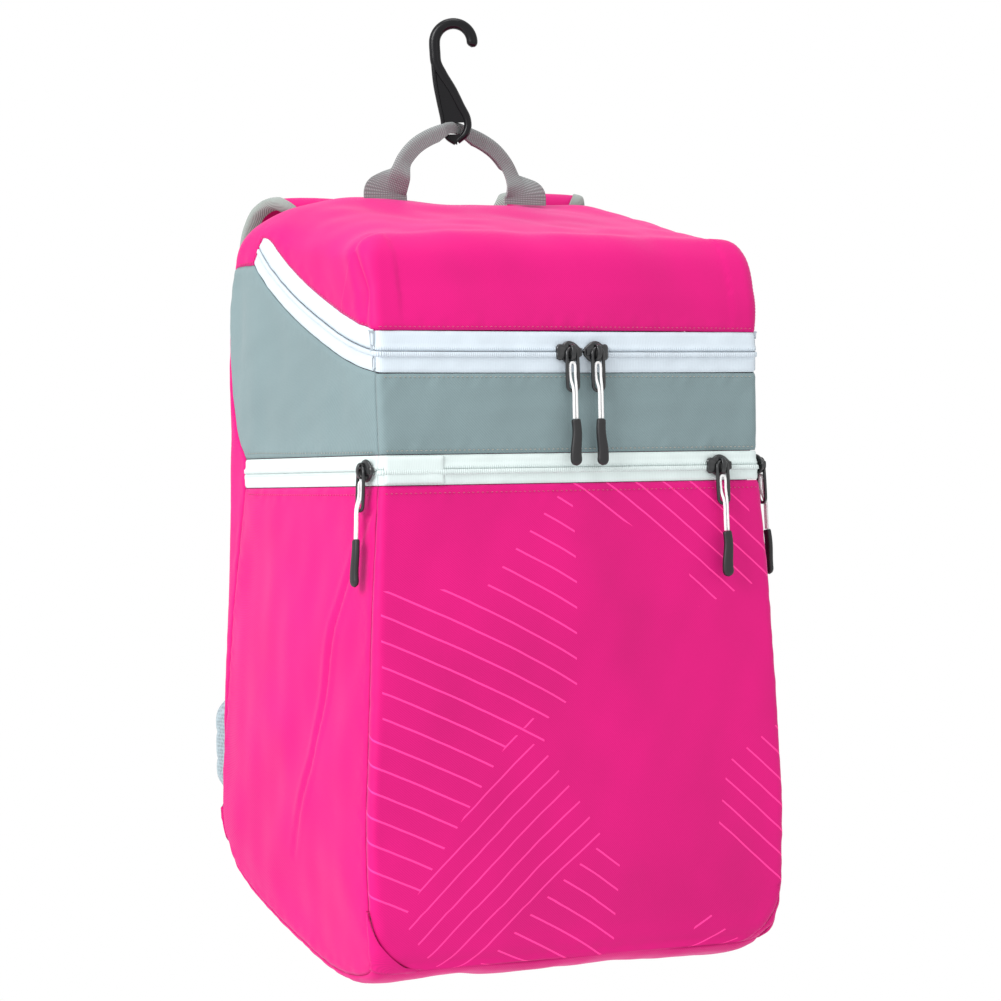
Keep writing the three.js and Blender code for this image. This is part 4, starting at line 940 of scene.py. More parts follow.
lid_front = zip_rows[1, 1] + lid_zip_half + seam_gap
lid_edge = np.stack(beside_zip(np.linspace(0, zip_run[-1], 300), lid_zip_half + seam_gap), 1)
lid_edge = np.concatenate([lid_edge, [(beside_zip(zip_run[-1], -lid_zip_half)[0],
                                       lid_back + small_gap), (0.5, lid_back + small_gap)]])
rim_step = np.linalg.norm((np.roll(rim, -1, 0) - rim)[:, :2], axis=1)
rim_run = np.concatenate([[0], np.cumsum(rim_step)])
rim_closed = np.concatenate([rim, rim[:1]])
front_run = float(np.interp(lid_front, rim[:rim_top + 1, 1], rim_run[:rim_top + 1]))
back_run = float(np.interp(-lid_back - small_gap, -rim[rim_top:rim_low, 1], rim_run[rim_top:rim_low]))
lid_runs = np.linspace(front_run, back_run, 128)


def on_rim(s):
    """The rim's columns at a run s along it: y, z, roll, drop, swell, right, normal y, normal z."""
    return [np.interp(s, rim_run, rim_closed[:, column]) for column in range(8)]


def crosswise(p, s):
    """A point on the section across the bag at the run s of the rim, with p as in around, but
    beyond 2 it is the share of the way from the rim's roll to the bag's middle."""
    y, z, roll, drop, swell, right, out_y, out_z = on_rim(s)
    roll, drop, flat, turn = over_corner(p, roll, drop, right)
    inward = np.clip(np.abs(p) - 2, 0, 1)
    lift = swell * (1 - flat ** 2) - drop * (1 - np.cos(turn))
    place_y, place_z = y + out_y * lift, z + out_z * lift
    place_y = place_y + (bag_middle[1] - place_y) * inward
    place_z = place_z + (bag_middle[2] - place_z) * inward
    width = half_width(place_z)
    x = np.where(np.abs(p) <= 1, flat * (width - roll),
                 width - roll * (1 - np.sin(turn)) + side_swell * (1 - (1 - inward) ** 2))
    return np.stack([np.sign(p) * x, place_y, place_z], -1)


def lid_limit(runs, side):
    """Where each section across the lid meets the lid's lower edge on one side."""
    trial = np.linspace(1.0, 2.9, 1500)
    places = crosswise(side * trial[None, :], runs[:, None])
    above = places[..., 2] > np.interp(places[..., 1], lid_edge[:, 0], lid_edge[:, 1]) - 0.0004
    crossing = np.argmax(~above, axis=1)
    return side * np.maximum(trial[crossing], 2.0)


lid_grid = spread(crosswise, lid_runs, lid_limit(lid_runs, -1), lid_limit(lid_runs, 1), 190)
lid_dart = np.array([(-0.0655, 0.474), (-0.0747, 0.457), (-0.0838, 0.4387), (-0.0856, 0.4134)])
on_lid_side = np.abs(lid_grid[..., 0]) > half_width(lid_grid[..., 2]) - 0.02
dart_deep, dart_wide = 0.0022, 0.0035
dart = fold_depth(lid_grid[..., 1], lid_grid[..., 2], lid_dart, dart_deep, dart_wide)
dart = np.where(on_lid_side, dart, 0)
sag_deep, sag_place, sag_reach = 0.0022, (0.03, 0.01), (0.07, 0.05)
from_sag = (lid_grid[..., :2] - sag_place) / sag_reach
crown_sag = -sag_deep * np.exp(-from_sag[..., 0] ** 2 - from_sag[..., 1] ** 2)
lid_grid = sewn(lid_grid, 61, wrinkle=0.0011, length=0.07, extra=dart + crown_sag)
add_panel("lid_cloth", sheet(lid_grid), pink_twill, "pink_twill", "lid")


# Back and base
# The back is one plain pink panel with wings that wrap round both sides. The base is a second
# piece, from the foot of the front under the bag and a short way up the back.

back_rows = np.linspace(base_back + seam_gap, lid_back - seam_gap, 130)


def back_limit(z, side):
    return around_limit(z, side, rim_at(z, 0, back=True)[0] - back_edge(z) - seam_gap, back=True)


def back_around(p, z):
    return around(p, z, back=True)


back_grid = spread(back_around, back_rows, back_limit(back_rows, -1), back_limit(back_rows, 1), 150)
back_grid = sewn(back_grid, 71, wrinkle=0.0010, length=0.08)
add_panel("back_panel_cloth", sheet(back_grid), pink_twill, "pink_twill", "back_panel")

base_start = float(np.interp(-base_back, -rim[rim_top:rim_low, 1], rim_run[rim_top:rim_low]))
low_rim = rim_closed[rim_low:]
base_end = float(np.interp(front_low, low_rim[:, 1], rim_run[rim_low:]))
base_runs = np.linspace(base_start, base_end, 110)


def base_limit(runs, side, wrap):
    """Where the base's seam lies on a section: a fixed wrap in from the rim, over its roll."""
    drop, right = (on_rim(runs)[column] for column in (3, 5))
    return past_rim(wrap, drop, right, side, reach=0.2)


def three_parts(runs, low, high, inner_low, inner_high, outer_count, middle_count):
    """Columns in three groups, so that the corner flaps can carry the outer groups on."""
    left = spread(crosswise, runs, low, inner_low, outer_count)
    middle = spread(crosswise, runs, inner_low, inner_high, middle_count)
    right = spread(crosswise, runs, inner_high, high, outer_count)
    return np.concatenate([left[:, :-1], middle, right[:, 1:]], axis=1)


base_wrap = np.full_like(base_runs, base_seam - seam_gap)
inner_share = [float(np.abs(front_limit(np.array([front_low]), side)[0])) for side in (-1, 1)]
base_grid = three_parts(base_runs, base_limit(base_runs, -1, base_wrap),
                        base_limit(base_runs, 1, base_wrap),
                        np.full_like(base_runs, -inner_share[0]),
                        np.full_like(base_runs, inner_share[1]), 26, 110)
base_grid = sewn(base_grid, 81, wrinkle=0.0008, length=0.07, tuck=0.0006, sides="tlr")

flap_shapes = []
for side in (-1, 1):
    flap_z = np.linspace(front_low, corner_top - 0.0006, 26)
    run = np.interp(flap_z, np.concatenate([low_rim[:-1, 1], rim[:60, 1]]),
                    np.concatenate([rim_run[rim_low:-1], rim_run[:60] + rim_run[-1]]))
    run = np.where(run > rim_run[-1], run - rim_run[-1], run)
    rim_y = on_rim(run)[0]
    wrap = np.maximum(front_cut + seam_gap - rim_y, base_seam - seam_gap)
    inner = front_limit(flap_z, side)
    outer = base_limit(run, side, wrap)
    flap = spread(crosswise, run, inner + side * 0.002, outer, 26)
    flap_shapes.append(sheet(sewn(flap, 85 + side, wrinkle=0.0002, tuck=0.0005, sides="lr")))
add_panel("base_panel_cloth", joined([sheet(base_grid)] + flap_shapes), pink_twill, "pink_twill",
          "base_panel")


# Pocket walls
# The pockets behind the zips have plain inner walls of pink lining, which the closed zips hide.

lining, _ = twill("pocket_lining", (0.55, 0.006, 0.14), 200.0, 0.15)
for node in ("front_pocket_wall", "side_pocket_wall_left", "side_pocket_wall_right"):
    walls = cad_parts[node].data.materials
    walls.clear()
    walls.append(lining)


# Zip sliders, rings and grips
# Each pull is a black enamelled slider with a bridge, a moulded ring that hangs in the bridge, and
# a rubber grip that holds both ends of the cord.


def moulded(name, colour, scale, detail, smooth, rough, bump, **sockets):
    """A moulded surface: a fine grain moves its roughness between smooth and rough, and stands
    by a bump given as strength and distance."""
    made = new_material(name, colour, rough, **sockets)
    place = add_node(made, "TexCoord", {})
    grain = add_node(made, "TexNoise", {"Vector": place["Object"], "Scale": scale, "Detail": detail})
    feed(made, "Roughness", laid(made, grain["Fac"], smooth, rough))
    add_bump(made, grain["Fac"], *bump)
    return made


enamel = moulded("zip_black_enamel", (0.010, 0.011, 0.012), 700.0, 4.0, 0.20, 0.42, (0.12, 0.0002),
                 Metallic=0.35, Specular_IOR_Level=0.6, Coat_Weight=0.4, Coat_Roughness=0.2)
rubber = moulded("grip_rubber", (0.008, 0.008, 0.009), 1500.0, 3.0, 0.38, 0.60, (0.15, 0.0002),
                 Specular_IOR_Level=0.45)


def loop_through(points, count):
    """A smooth closed line through points, with its points spaced evenly."""
    points = np.asarray(points, float)
    gaps = np.linalg.norm(np.roll(points, -1, 0) - points, axis=1)
    step = np.arange(len(points) * 12)
    fine = cubic(points, row_slopes(points, gaps), gaps, step % 12 / 12, step // 12)
    return resampled(np.concatenate([fine, fine[:1]]), count + 1)[:-1]


def domed(loop, rings):
    """A closed solid over a flat loop of (across, up): each ring is the loop drawn in by a share,
    at a height out. The first and last rings close it."""
    return np.stack([np.stack([loop[:, 0] * share, np.full(len(loop), out), loop[:, 1] * share], 1)
                     for share, out in rings])


def raised(values, power):
    """Each value to a power, with its sign kept."""
    return np.sign(values) * np.abs(values) ** power


def tube(path, side, wide, thick, around_count=14, closed=False, square=2.0):
    """A bar along a path: at each point an oval, wide along the side direction and thick across
    it. Square is the power that rounds it, 2 for an ellipse and more for a flatter bar."""
    ahead = np.roll(path, -1, 0) - np.roll(path, 1, 0) if closed else np.gradient(path, axis=0)
    ahead = units(ahead)
    side = np.broadcast_to(np.asarray(side, float), path.shape)
    side = units(side - ahead * np.sum(side * ahead, axis=1)[:, None])
    up = np.cross(ahead, side)
    turn = full_turn(around_count)
    a = raised(np.cos(turn), 2 / square) / 2
    b = raised(np.sin(turn), 2 / square) / 2
    wide, thick = (np.broadcast_to(np.asarray(value, float), len(path))[:, None, None]
                   for value in (wide, thick))
    return (path[:, None] + side[:, None] * a[:, None] * wide + up[:, None] * b[:, None] * thick)


slider_length, slider_height, slider_thick = 0.0185, 0.014, 0.003
bridge_width, bridge_rise, bridge_sunk = 0.0032, 0.0046, 0.0006
ridge_width, ridge_rise = 0.0052, 0.0016
grip_length, grip_width, grip_thick = 0.030, 0.0084, 0.0046

# A slider's outline from its square outer end round to its nose, as shares of length and height
slider_loop = loop_through([
    (-0.50, -0.30), (-0.42, -0.38), (-0.30, -0.36), (-0.16, -0.48), (0.02, -0.52), (0.20, -0.44),
    (0.36, -0.28), (0.47, -0.14), (0.50, 0.0), (0.47, 0.14), (0.36, 0.28), (0.20, 0.44),
    (0.02, 0.52), (-0.16, 0.48), (-0.30, 0.36), (-0.42, 0.38), (-0.50, 0.30), (-0.52, 0.0),
], 56)

# Its dome from the middle out and back under it: share of the outline, height out
slider_rings = [(0.02, 0.0034), (0.35, 0.0034), (0.60, 0.0031), (0.80, 0.0026), (0.93, 0.0021),
                (0.99, 0.0015), (1.0, 0.0009), (0.985, 0.0003), (0.95, 0.0), (0.5, 0.0), (0.02, 0.0)]
nose = {"lid_left": 1, "lid_right": -1, "front": 1, "side_left": 1, "side_right": -1}


def slider_shape(place, facing):
    """A slider: its domed body, the bridge over it and the ridge towards its nose."""
    arch = np.linspace(0, np.pi, 17)
    bridge = np.stack([arch * 0, slider_thick - bridge_sunk + bridge_rise * np.sin(arch) ** 0.55,
                       np.cos(arch) * (bridge_reach / 2 - bridge_bar / 2)], 1)
    reach = np.linspace(0.1, 0.42, 6) * slider_length * facing
    ridge = np.stack([reach, np.full(6, slider_thick + 0.0001), reach * 0], 1)
    parts = (domed(slider_loop * (slider_length * facing, slider_height), slider_rings),
             tube(bridge, (1, 0, 0), bridge_width, bridge_bar, 12, square=3.0),
             tube(ridge, (0, 0, 1), ridge_width, ridge_rise, 12, square=2.6))
    return joined([bar(place.on_slider(part)) for part in parts])


def ring_shape(place):
    """A long ring: two half circles, the upper one a little narrower, with straight sides."""
    half, long = (ring_width - ring_bar) / 2, (ring_length - ring_bar) / 2
    turn = full_turn(72)
    c, s = np.cos(turn), np.sin(turn)
    path = np.stack([half * c * (1 - 0.10 * (s > 0) * s), np.full(72, -ring_bar / 2),
                     half * s + np.clip(s * 3, -1, 1) * (long - half) - ring_length / 2], 1)
    return sheet(place.hanging(tube(path, (0, 1, 0), ring_bar * 0.95, ring_bar, 12, closed=True,
                                    square=2.4)), loop_rows=True, loop_columns=True)


def grip_shape(place, facing):
    """A grip that widens downwards to a round end, with a slight bow."""
    down = np.linspace(0, 1, 44)
    end_round = np.sqrt(np.clip(1 - (np.maximum(down - 0.86, 0) / 0.14) ** 2, 0, 1))
    top_round = 0.80 + 0.20 * np.sqrt(np.clip(1 - (np.maximum(0.04 - down, 0) / 0.04) ** 2, 0, 1))
    wide = grip_width * (0.74 + 0.26 * down ** 1.5) * end_round * top_round
    thick = grip_thick * (0.86 + 0.14 * down) * end_round * top_round
    bow = 0.0006 * np.sin(down * 2 * np.pi) * facing
    path = np.stack([bow, np.full(44, cord_before) + 0.0004 * np.sin(down * np.pi),
                     grip_top - down * grip_length * 0.998], 1)
    return bar(place.hanging(tube(path, (1, 0, 0), np.maximum(wide, 0.0006),
                                  np.maximum(thick, 0.0005), 20, square=2.5)))


for name, place in pulls.items():
    add_piece("slider_" + name + "_enamel", slider_shape(place, nose[name]), enamel, "zip_hardware",
              ["slider_" + name], sharp=50)
    add_piece("ring_" + name + "_enamel", ring_shape(place), enamel, "zip_hardware",
              ["ring_" + name])
    grip = add_piece("grip_" + name + "_rubber", grip_shape(place, nose[name]), rubber,
                     "grip_rubber", ["grip_" + name])


# Shoulder straps
# Each strap is a padded band of the pink twill, sewn in behind the lid. Both edges and the round
# tip are folded into a grey woven binding. The right strap has slid further out than the left.

strap_thick, strap_stand, strap_slide = 0.009, 0.004, 0.016
binding_wide = 0.008
strap_square = 3.4
strap_count, strap_around = 130, 48
strap_inset, strap_ripple = 0.0002, 0.0003

# Down the strap: inner and outer edge, depth and height as shares of the body, and share of slide
strap_rows = np.array([
    (0.125, 0.335, 0.876, 0.974, 1.0), (0.148, 0.382, 0.885, 0.992, 1.0),
    (0.168, 0.408, 0.912, 1.000, 1.0), (0.180, 0.426, 0.955, 0.992, 0.9),
    (0.186, 0.436, 0.995, 0.970, 0.8), (0.188, 0.440, 1.026, 0.932, 0.7),
    (0.188, 0.438, 1.041, 0.860, 0.5), (0.186, 0.432, 1.044, 0.730, 0.2),
    (0.186, 0.424, 1.044, 0.600, 0.05), (0.208, 0.414, 1.044, 0.490, 0.0),
    (0.262, 0.398, 1.044, 0.440, 0.0),
])

webbing_colour, binding_colour = (0.26, 0.275, 0.275), (0.25, 0.285, 0.265)
webbing_grey = new_material("strap_webbing", webbing_colour, 0.75, Sheen_Weight=0.1,
                            Specular_IOR_Level=0.3)
weave_uv = add_node(webbing_grey, "TexCoord", {})
weft, warp = (add_node(webbing_grey, "TexWave", {"Vector": weave_uv["UV"], "Scale": scale,
                                                 "Distortion": 0.3}, bands_direction=way)
              for scale, way in ((240.0, "X"), (210.0, "Y")))
basket = reckon(webbing_grey, "MULTIPLY", weft["Fac"], warp["Fac"])
add_shade(webbing_grey, webbing_colour, laid(webbing_grey, basket, 0.55, 1.35))
add_bump(webbing_grey, basket, 0.6, 0.0004)

binding_grey = new_material("binding_tape", binding_colour, 0.75, Sheen_Weight=0.25,
                            Specular_IOR_Level=0.3)
binding_uv = add_node(binding_grey, "TexCoord", {})
binding_rib = add_node(binding_grey, "TexWave", {"Vector": binding_uv["UV"], "Scale": 330.0,
                                                 "Distortion": 0.5}, bands_direction="DIAGONAL")
add_shade(binding_grey, binding_colour, laid(binding_grey, binding_rib["Fac"], 0.55, 1.4))
add_bump(binding_grey, binding_rib["Fac"], 0.5, 0.0003)


def smooth_line(rows, count):
    """A smooth line through rows of any width, evenly spaced by their first three columns."""
    run = run_of(rows[:, :3])
    at = np.linspace(0, run[-1], count)
    return np.stack([through(np.stack([run, rows[:, column]], 1), at)
                     for column in range(rows.shape[1])], 1)


def strap_skin(line, turn, grow):
    """Points round the strap at turns about its middle line, a little larger by grow."""
    a = raised(np.cos(turn), 2 / strap_square)
    b = raised(np.sin(turn), 2 / strap_square)
    up = units(np.cross(units(np.gradient(line[:, :3], axis=0)), (1.0, 0, 0)))
    wide = (line[:, 3] / 2 + grow)[:, None, None] * np.array([1.0, 0, 0])
    return (line[:, None, :3] + a[..., None] * wide
            + b[..., None] * up[:, None] * (strap_thick / 2 + grow))


tip_length, tip_narrowing = 0.012, 0.45
strap_lift, lift_row, lift_spread = 0.55, 1.4, 1.3
binding_outer, binding_inner, binding_tip = 0.0009, 0.0001, 0.009


def strap_line(side):
    """A strap's middle points and widths. The right strap slides out, and arches up as it does."""
    slide = strap_slide if side > 0 else 0.0
    lift = np.exp(-((np.arange(len(strap_rows)) - lift_row) / lift_spread) ** 2) * slide * strap_lift
    inner, outer, behind, height, share = strap_rows.T
    line = smooth_line(np.stack([(inner + outer) / 2 * body_width + share * slide,
                                 front_y + behind * body_depth + strap_stand,
                                 height * body_height + lift, (outer - inner) * body_width], 1),
                       strap_count)
    run = run_of(line[:, :3])
    ending = np.clip((run - run[-1] + tip_length) / tip_length, 0, 1)
    line[:, 3] *= 1 - tip_narrowing * ending ** 2.5
    line[:, 0] *= side
    return line, run


def binding_shape(line, run, turn):
    """The binding: a strip folded round each edge of a strap, and a cap over its tip."""
    reach = np.arccos(np.clip(1 - binding_wide / (line[:, 3] / 2), 0, 1) ** (strap_square / 2))
    parts = []
    for about in (0.0, np.pi):
        edge_turn = about + reach[:, None] * raised(np.linspace(-1, 1, 15), 1.6)
        parts.append(np.concatenate([strap_skin(line, edge_turn, binding_outer),
                                     strap_skin(line, edge_turn[:, ::-1], binding_inner)], 1))
    tip = np.concatenate([line[run > run[-1] - binding_tip],
                          line[-1:] + (line[-1:] - line[-2:-1]) * 0.4])
    inner = strap_skin(tip, turn[:len(tip)], binding_inner)
    outer = strap_skin(tip, turn[:len(tip)], binding_outer)
    outer[-1] = outer[-1] * 0.4 + outer[-1].mean(0) * 0.6
    parts.append(np.concatenate([inner[::-1][1:], outer]))
    return joined([bar(part) for part in parts])


for side, hand in hands:
    line, run = strap_line(side)
    turn = np.broadcast_to(full_turn(strap_around), (strap_count, strap_around))
    skin = strap_skin(line, turn, -strap_inset)
    skin = skin + outward(skin, line[:, None, :3]) * (strap_ripple * ripple(skin, 0.03, 91))[..., None]
    strap = add_piece("shoulder_strap_pad_" + hand, bar(skin), pink_twill, "pink_twill",
                      ["shoulder_strap_" + hand], sharp=60)
    add_piece("strap_binding_tape_" + hand, binding_shape(line, run, turn), binding_grey, "binding",
              ["strap_binding_" + hand], sharp=50)


# Strap webbing and buckles
# Below each strap its grey webbing runs on behind the lumbar pad to the base seam. A plastic
# three-bar buckle lies on it and adjusts the strap.

pad_middle, pad_tall_half, pad_thick = 0.2756 * body_height, 0.038, 0.024
pad_low, pad_high = pad_middle - pad_tall_half, pad_middle + pad_tall_half
tip_overlap = 0.0016
web_end, strap_tip = 0.125 * body_height, strap_rows[-1, 3] * body_height - tip_overlap
web_width, web_thick, web_clear = 0.025, 0.0017, 0.0009
back_y = front_y + body_depth

# Down the webbing: share of the width, share of the pad's depth, and height, where -1 is its end,
# 0 and 1 are the pad's edges and 2 is the strap's tip
web_rows = np.array([(0.330, 0.56, 2.0), (0.332, 0.56, 1.56), (0.336, 0.58, 1.18),
                     (0.345, 1.02, 0.91), (0.365, 1.04, 0.60), (0.390, 1.04, 0.10),
                     (0.400, 0.93, -0.08), (0.412, 0.33, -0.50), (0.425, -0.83, -1.00)])
web_height = np.interp(web_rows[:, 2], [-1, 0, 1, 2], [web_end, pad_low, pad_high, strap_tip])
web_depth = back_y + web_rows[:, 1] * (pad_thick + web_clear + small_gap)
buckle_black = moulded("buckle_plastic", (0.012, 0.012, 0.013), 900.0, 3.0, 0.30, 0.48,
                       (0.12, 0.0002), Specular_IOR_Level=0.5)
frame_bar, middle_bar = 0.0042, 0.0058


def buckle_shape(low, high):
    """A buckle in a box: a frame with rounded corners, and a bar across its middle."""
    middle, half = (low + high) / 2, (high - low) / 2
    turn = full_turn(64)
    around_frame = np.stack([middle[0] + raised(np.cos(turn), 0.22) * (half[0] - frame_bar / 2),
                             np.full(64, middle[1]),
                             middle[2] + raised(np.sin(turn), 0.22) * (half[2] - frame_bar / 2)], 1)
    ring = tube(loop_through(around_frame, 96), (0, 1, 0), half[1] * 1.9, frame_bar, 14, closed=True,
                square=2.8)
    across = np.stack([np.linspace(low[0] + frame_bar * 0.6, high[0] - frame_bar * 0.6, 8),
                       np.full(8, middle[1]), np.full(8, middle[2])], 1)
    return joined([sheet(ring, loop_rows=True, loop_columns=True),
                   bar(tube(across, (0, 1, 0), half[1] * 1.7, middle_bar, 14, square=2.8))])


for side, hand in hands:
    line = smooth_line(np.stack([web_rows[:, 0] * body_width * side, web_depth, web_height], 1), 110)
    add_piece("strap_webbing_weave_" + hand,
              bar(tube(line, (1, 0, 0), web_width, web_thick, 28, square=7.0)), webbing_grey,
              "webbing", ["strap_webbing_" + hand], sharp=60)
    low, high = (np.array(corner) + hang_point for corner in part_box("strap_buckle_" + hand))
    add_piece("strap_buckle_frame_" + hand, buckle_shape(low, high), buckle_black, "buckle_plastic",
              ["strap_buckle_" + hand], sharp=50)


# Lumbar pad
# Low on the back lies a soft foam pad covered with pale blue-grey spacer mesh, stitched through
# in crossing diagonal channels.

mesh_colour = (0.25, 0.33, 0.37)
mesh_cloth = new_material("lumbar_mesh", mesh_colour, 0.85, Sheen_Weight=0.3, Specular_IOR_Level=0.25)
mesh_place = add_node(mesh_cloth, "TexCoord", {})
mesh_cells = add_node(mesh_cloth, "TexVoronoi", {"Vector": mesh_place["Object"], "Scale": 420.0,
                                                 "Randomness": 0.35})
# Each mesh cell is darkest at its middle, where the bump sinks in: painted shade in the mesh's holes.
add_shade(mesh_cloth, mesh_colour, laid(mesh_cloth, mesh_cells["Distance"], 0.45, 1.1, 0.1, 0.6))
add_bump(mesh_cloth, mesh_cells["Distance"], 0.5, 0.0006)

pad_half, pad_corner = 0.1475, 0.022
side_edge, top_edge, edge_power, pad_inset = 0.007, 0.016, 2.4, 0.0004
quilt_pitch, quilt_half, quilt_depth = 0.024, 0.0016, 0.0022

pad_rise = np.sin(np.linspace(-np.pi / 2, np.pi / 2, 60)) * pad_tall_half * 0.999
beyond = np.clip(np.abs(pad_rise) - (pad_tall_half - pad_corner), 0, pad_corner)
pad_reach = (pad_half - pad_corner + np.sqrt(pad_corner ** 2 - beyond ** 2))[:, None]
pad_x = pad_reach * np.sin(np.linspace(-np.pi / 2, np.pi / 2, 150))
pad_z = np.broadcast_to(pad_rise[:, None], pad_x.shape)
to_side = np.clip((pad_reach - np.abs(pad_x)) / side_edge, 0, 1)
to_top = np.clip((pad_tall_half - np.abs(pad_z)) / top_edge, 0, 1)
puff = ((1 - (1 - to_side) ** edge_power) * (1 - (1 - to_top) ** edge_power)) ** 0.45
channel = np.zeros_like(pad_x)
for way in (1, -1):
    place = (pad_x + way * pad_z) / np.sqrt(2)
    away = np.abs((place / quilt_pitch + 0.5) % 1 - 0.5) * quilt_pitch
    channel += np.exp(-(away / quilt_half) ** 2)
pad_out = (back_y + pad_inset * 2
           + puff * (pad_thick - pad_inset * 3 - quilt_depth * np.clip(channel, 0, 1.2)))
pad_outer = np.stack([pad_x, pad_out, pad_z + (pad_low + pad_high) / 2], -1)
pad_inner = np.stack([pad_x, np.full_like(pad_x, back_y + pad_inset), pad_outer[..., 2]], -1)
pad = add_piece("lumbar_pad_mesh", bar(np.concatenate([pad_outer, pad_inner[:, ::-1]], 1)), mesh_cloth,
                "air_mesh", ["back_pad"])


# Carry handle
# A loop of grey webbing sewn in with both feet at the back of the lid. It lies flat at its feet
# and folds in two lengthwise where the hand and the hook hold it.

hook_drop, slot_high, fold_high = 0.062, 0.0094, 0.007
foot_across, web_half, web_skin = 0.054, 0.016, 0.00075
flat_foot, folding_length = 0.005, 0.028
hook_reach, hook_turn = 0.012, np.radians(27)
hook_half, hook_beside = 0.009, 0.010
fold_growth, fold_sag = 0.0032, 0.0018
belly_thin, belly_growth, cross_fold = 0.0011, 0.0004, 0.004
handle_rows = np.array([(1.00, 0.000, 0.00), (1.00, 0.140, 0.00), (0.965, 0.270, 0.22),
                        (0.915, 0.400, 0.85), (0.82, 0.560, 1.00), (0.66, 0.745, 1.00),
                        (0.44, 0.885, 1.00), (0.20, 0.970, 1.00), (0.06, 1.000, 1.00)])
handle_top = hang_point[2] - hook_drop - slot_high + fold_high / 2 + small_gap
handle_foot = float(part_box("carry_handle")[0][2]) + hang_point[2]
half_handle = np.stack([handle_rows[:, 0] * foot_across, handle_rows[:, 1] * 0, handle_foot
                        + (handle_top - handle_foot) * handle_rows[:, 1], handle_rows[:, 2]], 1)
handle_line = np.concatenate([half_handle * (-1, 1, 1, 1), half_handle[::-1]])
handle_count = 200
handle_line = smooth_line(handle_line, handle_count)
fold = np.clip(handle_line[:, 3], 0, 1)
skew = np.clip(handle_line[:, 0], -hook_reach, hook_reach) * np.tan(hook_turn) * fold
handle_along = units(np.gradient(handle_line[:, :3], axis=0))
handle_across = np.stack([-handle_along[:, 2], skew * 0, handle_along[:, 0]], 1)
handle_middle = handle_line[:, :3] + np.stack([skew * 0, hang_point[1] + skew, skew * 0], 1)
beyond_hook = np.clip((np.abs(handle_line[:, 0]) - hook_half) / hook_beside, 0, 1)[:, None]
fold_reach = fold_high + fold_growth * beyond_hook
w = np.linspace(-1, 1, 41)[None, :]
flat_across = web_half * w
folded_across = fold_reach * (0.5 - np.abs(w)) - fold_sag * beyond_hook
from_start = np.linspace(0, run_of(handle_line[:, :3])[-1], handle_count)
folding = np.clip((np.minimum(from_start, from_start[::-1]) - flat_foot) / folding_length, 0, 1)
f = (folding ** 2 * (3 - 2 * folding))[:, None]
belly = belly_thin + belly_growth * beyond_hook
web_across = flat_across * (1 - f) + folded_across * f
web_out = belly * np.tanh(6 * w) * f + cross_fold * w * np.sin(np.pi * f)
handle_web = (handle_middle[:, None] + handle_across[:, None] * web_across[..., None]
              + np.array([0, 1, 0]) * web_out[..., None])
handle_length = run_of(handle_middle)
handle_uv = np.stack([np.broadcast_to(flat_across, web_across.shape),
                      np.broadcast_to(handle_length[:, None], web_across.shape)], -1)
web_face = outward(handle_web)
handle_shape = np.concatenate([handle_web + web_face * web_skin,
                               (handle_web - web_face * web_skin)[:, ::-1]], 1)
add_piece("carry_handle_weave",
          sheet(handle_shape, np.concatenate([handle_uv, handle_uv[:, ::-1]], 1), loop_columns=True,
                caps=True), webbing_grey, "webbing", ["carry_handle"], sharp=60)


# Fence hook
# A moulded black plastic hook: a round rod curls over at the top and runs down into the right rail
# of a shank, with a thinner left rail, a flat web between them and a slot for the handle.

hook_black = moulded("hook_plastic", (0.004, 0.004, 0.005), 320.0, 4.0, 0.18, 0.34, (0.08, 0.0003),
                     Specular_IOR_Level=0.22)

hook_thick, rod_thick, curl_inner, rod_round = 0.007, 0.0076, 0.009, 0.0036
hook_plane = np.radians(-29)
curl_way = np.radians(np.linspace(-16, 180, 40))
curl_reach = curl_inner + rod_thick / 2
curl = np.stack([curl_reach * np.cos(curl_way), curl_reach * np.sin(curl_way) - curl_inner,
                 np.full(40, rod_thick)], 1)
right_rail = np.array([(-12.6, -15.5, 7.6), (-12.0, -22.3, 7.5), (-7.9, -30.5, 6.9),
                       (-1.4, -41.0, 6.2), (4.0, -52.0, 5.8), (8.6, -62.0, 5.4),
                       (8.9, -66.5, 5.2), (7.4, -70.8, 5.0), (1.6, -76.4, 4.4)]) / 1000
left_rail = np.array([(-14.0, -20.0, 3.2), (-13.6, -26.0, 3.4), (-12.6, -37.0, 3.4),
                      (-10.4, -50.0, 3.2), (-8.2, -62.0, 3.0), (-7.6, -68.0, 3.0),
                      (-5.4, -73.5, 3.2), (0.4, -77.6, 3.4)]) / 1000


def hook_points(points):
    """Points given from the hanging point in the hook's own plane, turned as the hook hangs."""
    x, y, z = np.moveaxis(points, -1, 0)
    c, s = np.cos(hook_plane), np.sin(hook_plane)
    return np.stack([x * c - y * s, x * s + y * c, z], -1) + hang_point


def hook_rail(rows, count, thick, round_start=False):
    """A rail of the hook, rounded at its start."""
    line = smooth_line(np.stack([rows[:, 0], rows[:, 0] * 0, rows[:, 1], rows[:, 2]], 1), count)
    run = run_of(line[:, :3])
    start = 1 - np.clip(run / rod_round, 0, 1)
    short = np.sqrt(np.clip(1 - start ** 2, 0.01, 1)) if round_start else 1
    return bar(hook_points(tube(line[:, :3], (0, 1, 0), thick * short, line[:, 3] * short, 20,
                                square=2.3)))


def hook_web(low, high, count, half):
    """The flat web between the rails' middle lines, from one height to another."""
    z = np.linspace(high, low, count)
    left = np.interp(-z, -left_rail[:, 1], left_rail[:, 0])
    right = np.interp(-z, -right_rail[:, 1], right_rail[:, 0])
    share = np.array([0, 0.5, 1, 1, 0.5, 0])
    depth = np.array([-1, -1, -1, 1, 1, 1]) * half
    x = left[:, None] + (right - left)[:, None] * share
    return bar(hook_points(np.stack([x, np.broadcast_to(depth, x.shape),
                                     np.broadcast_to(z[:, None], x.shape)], -1)))


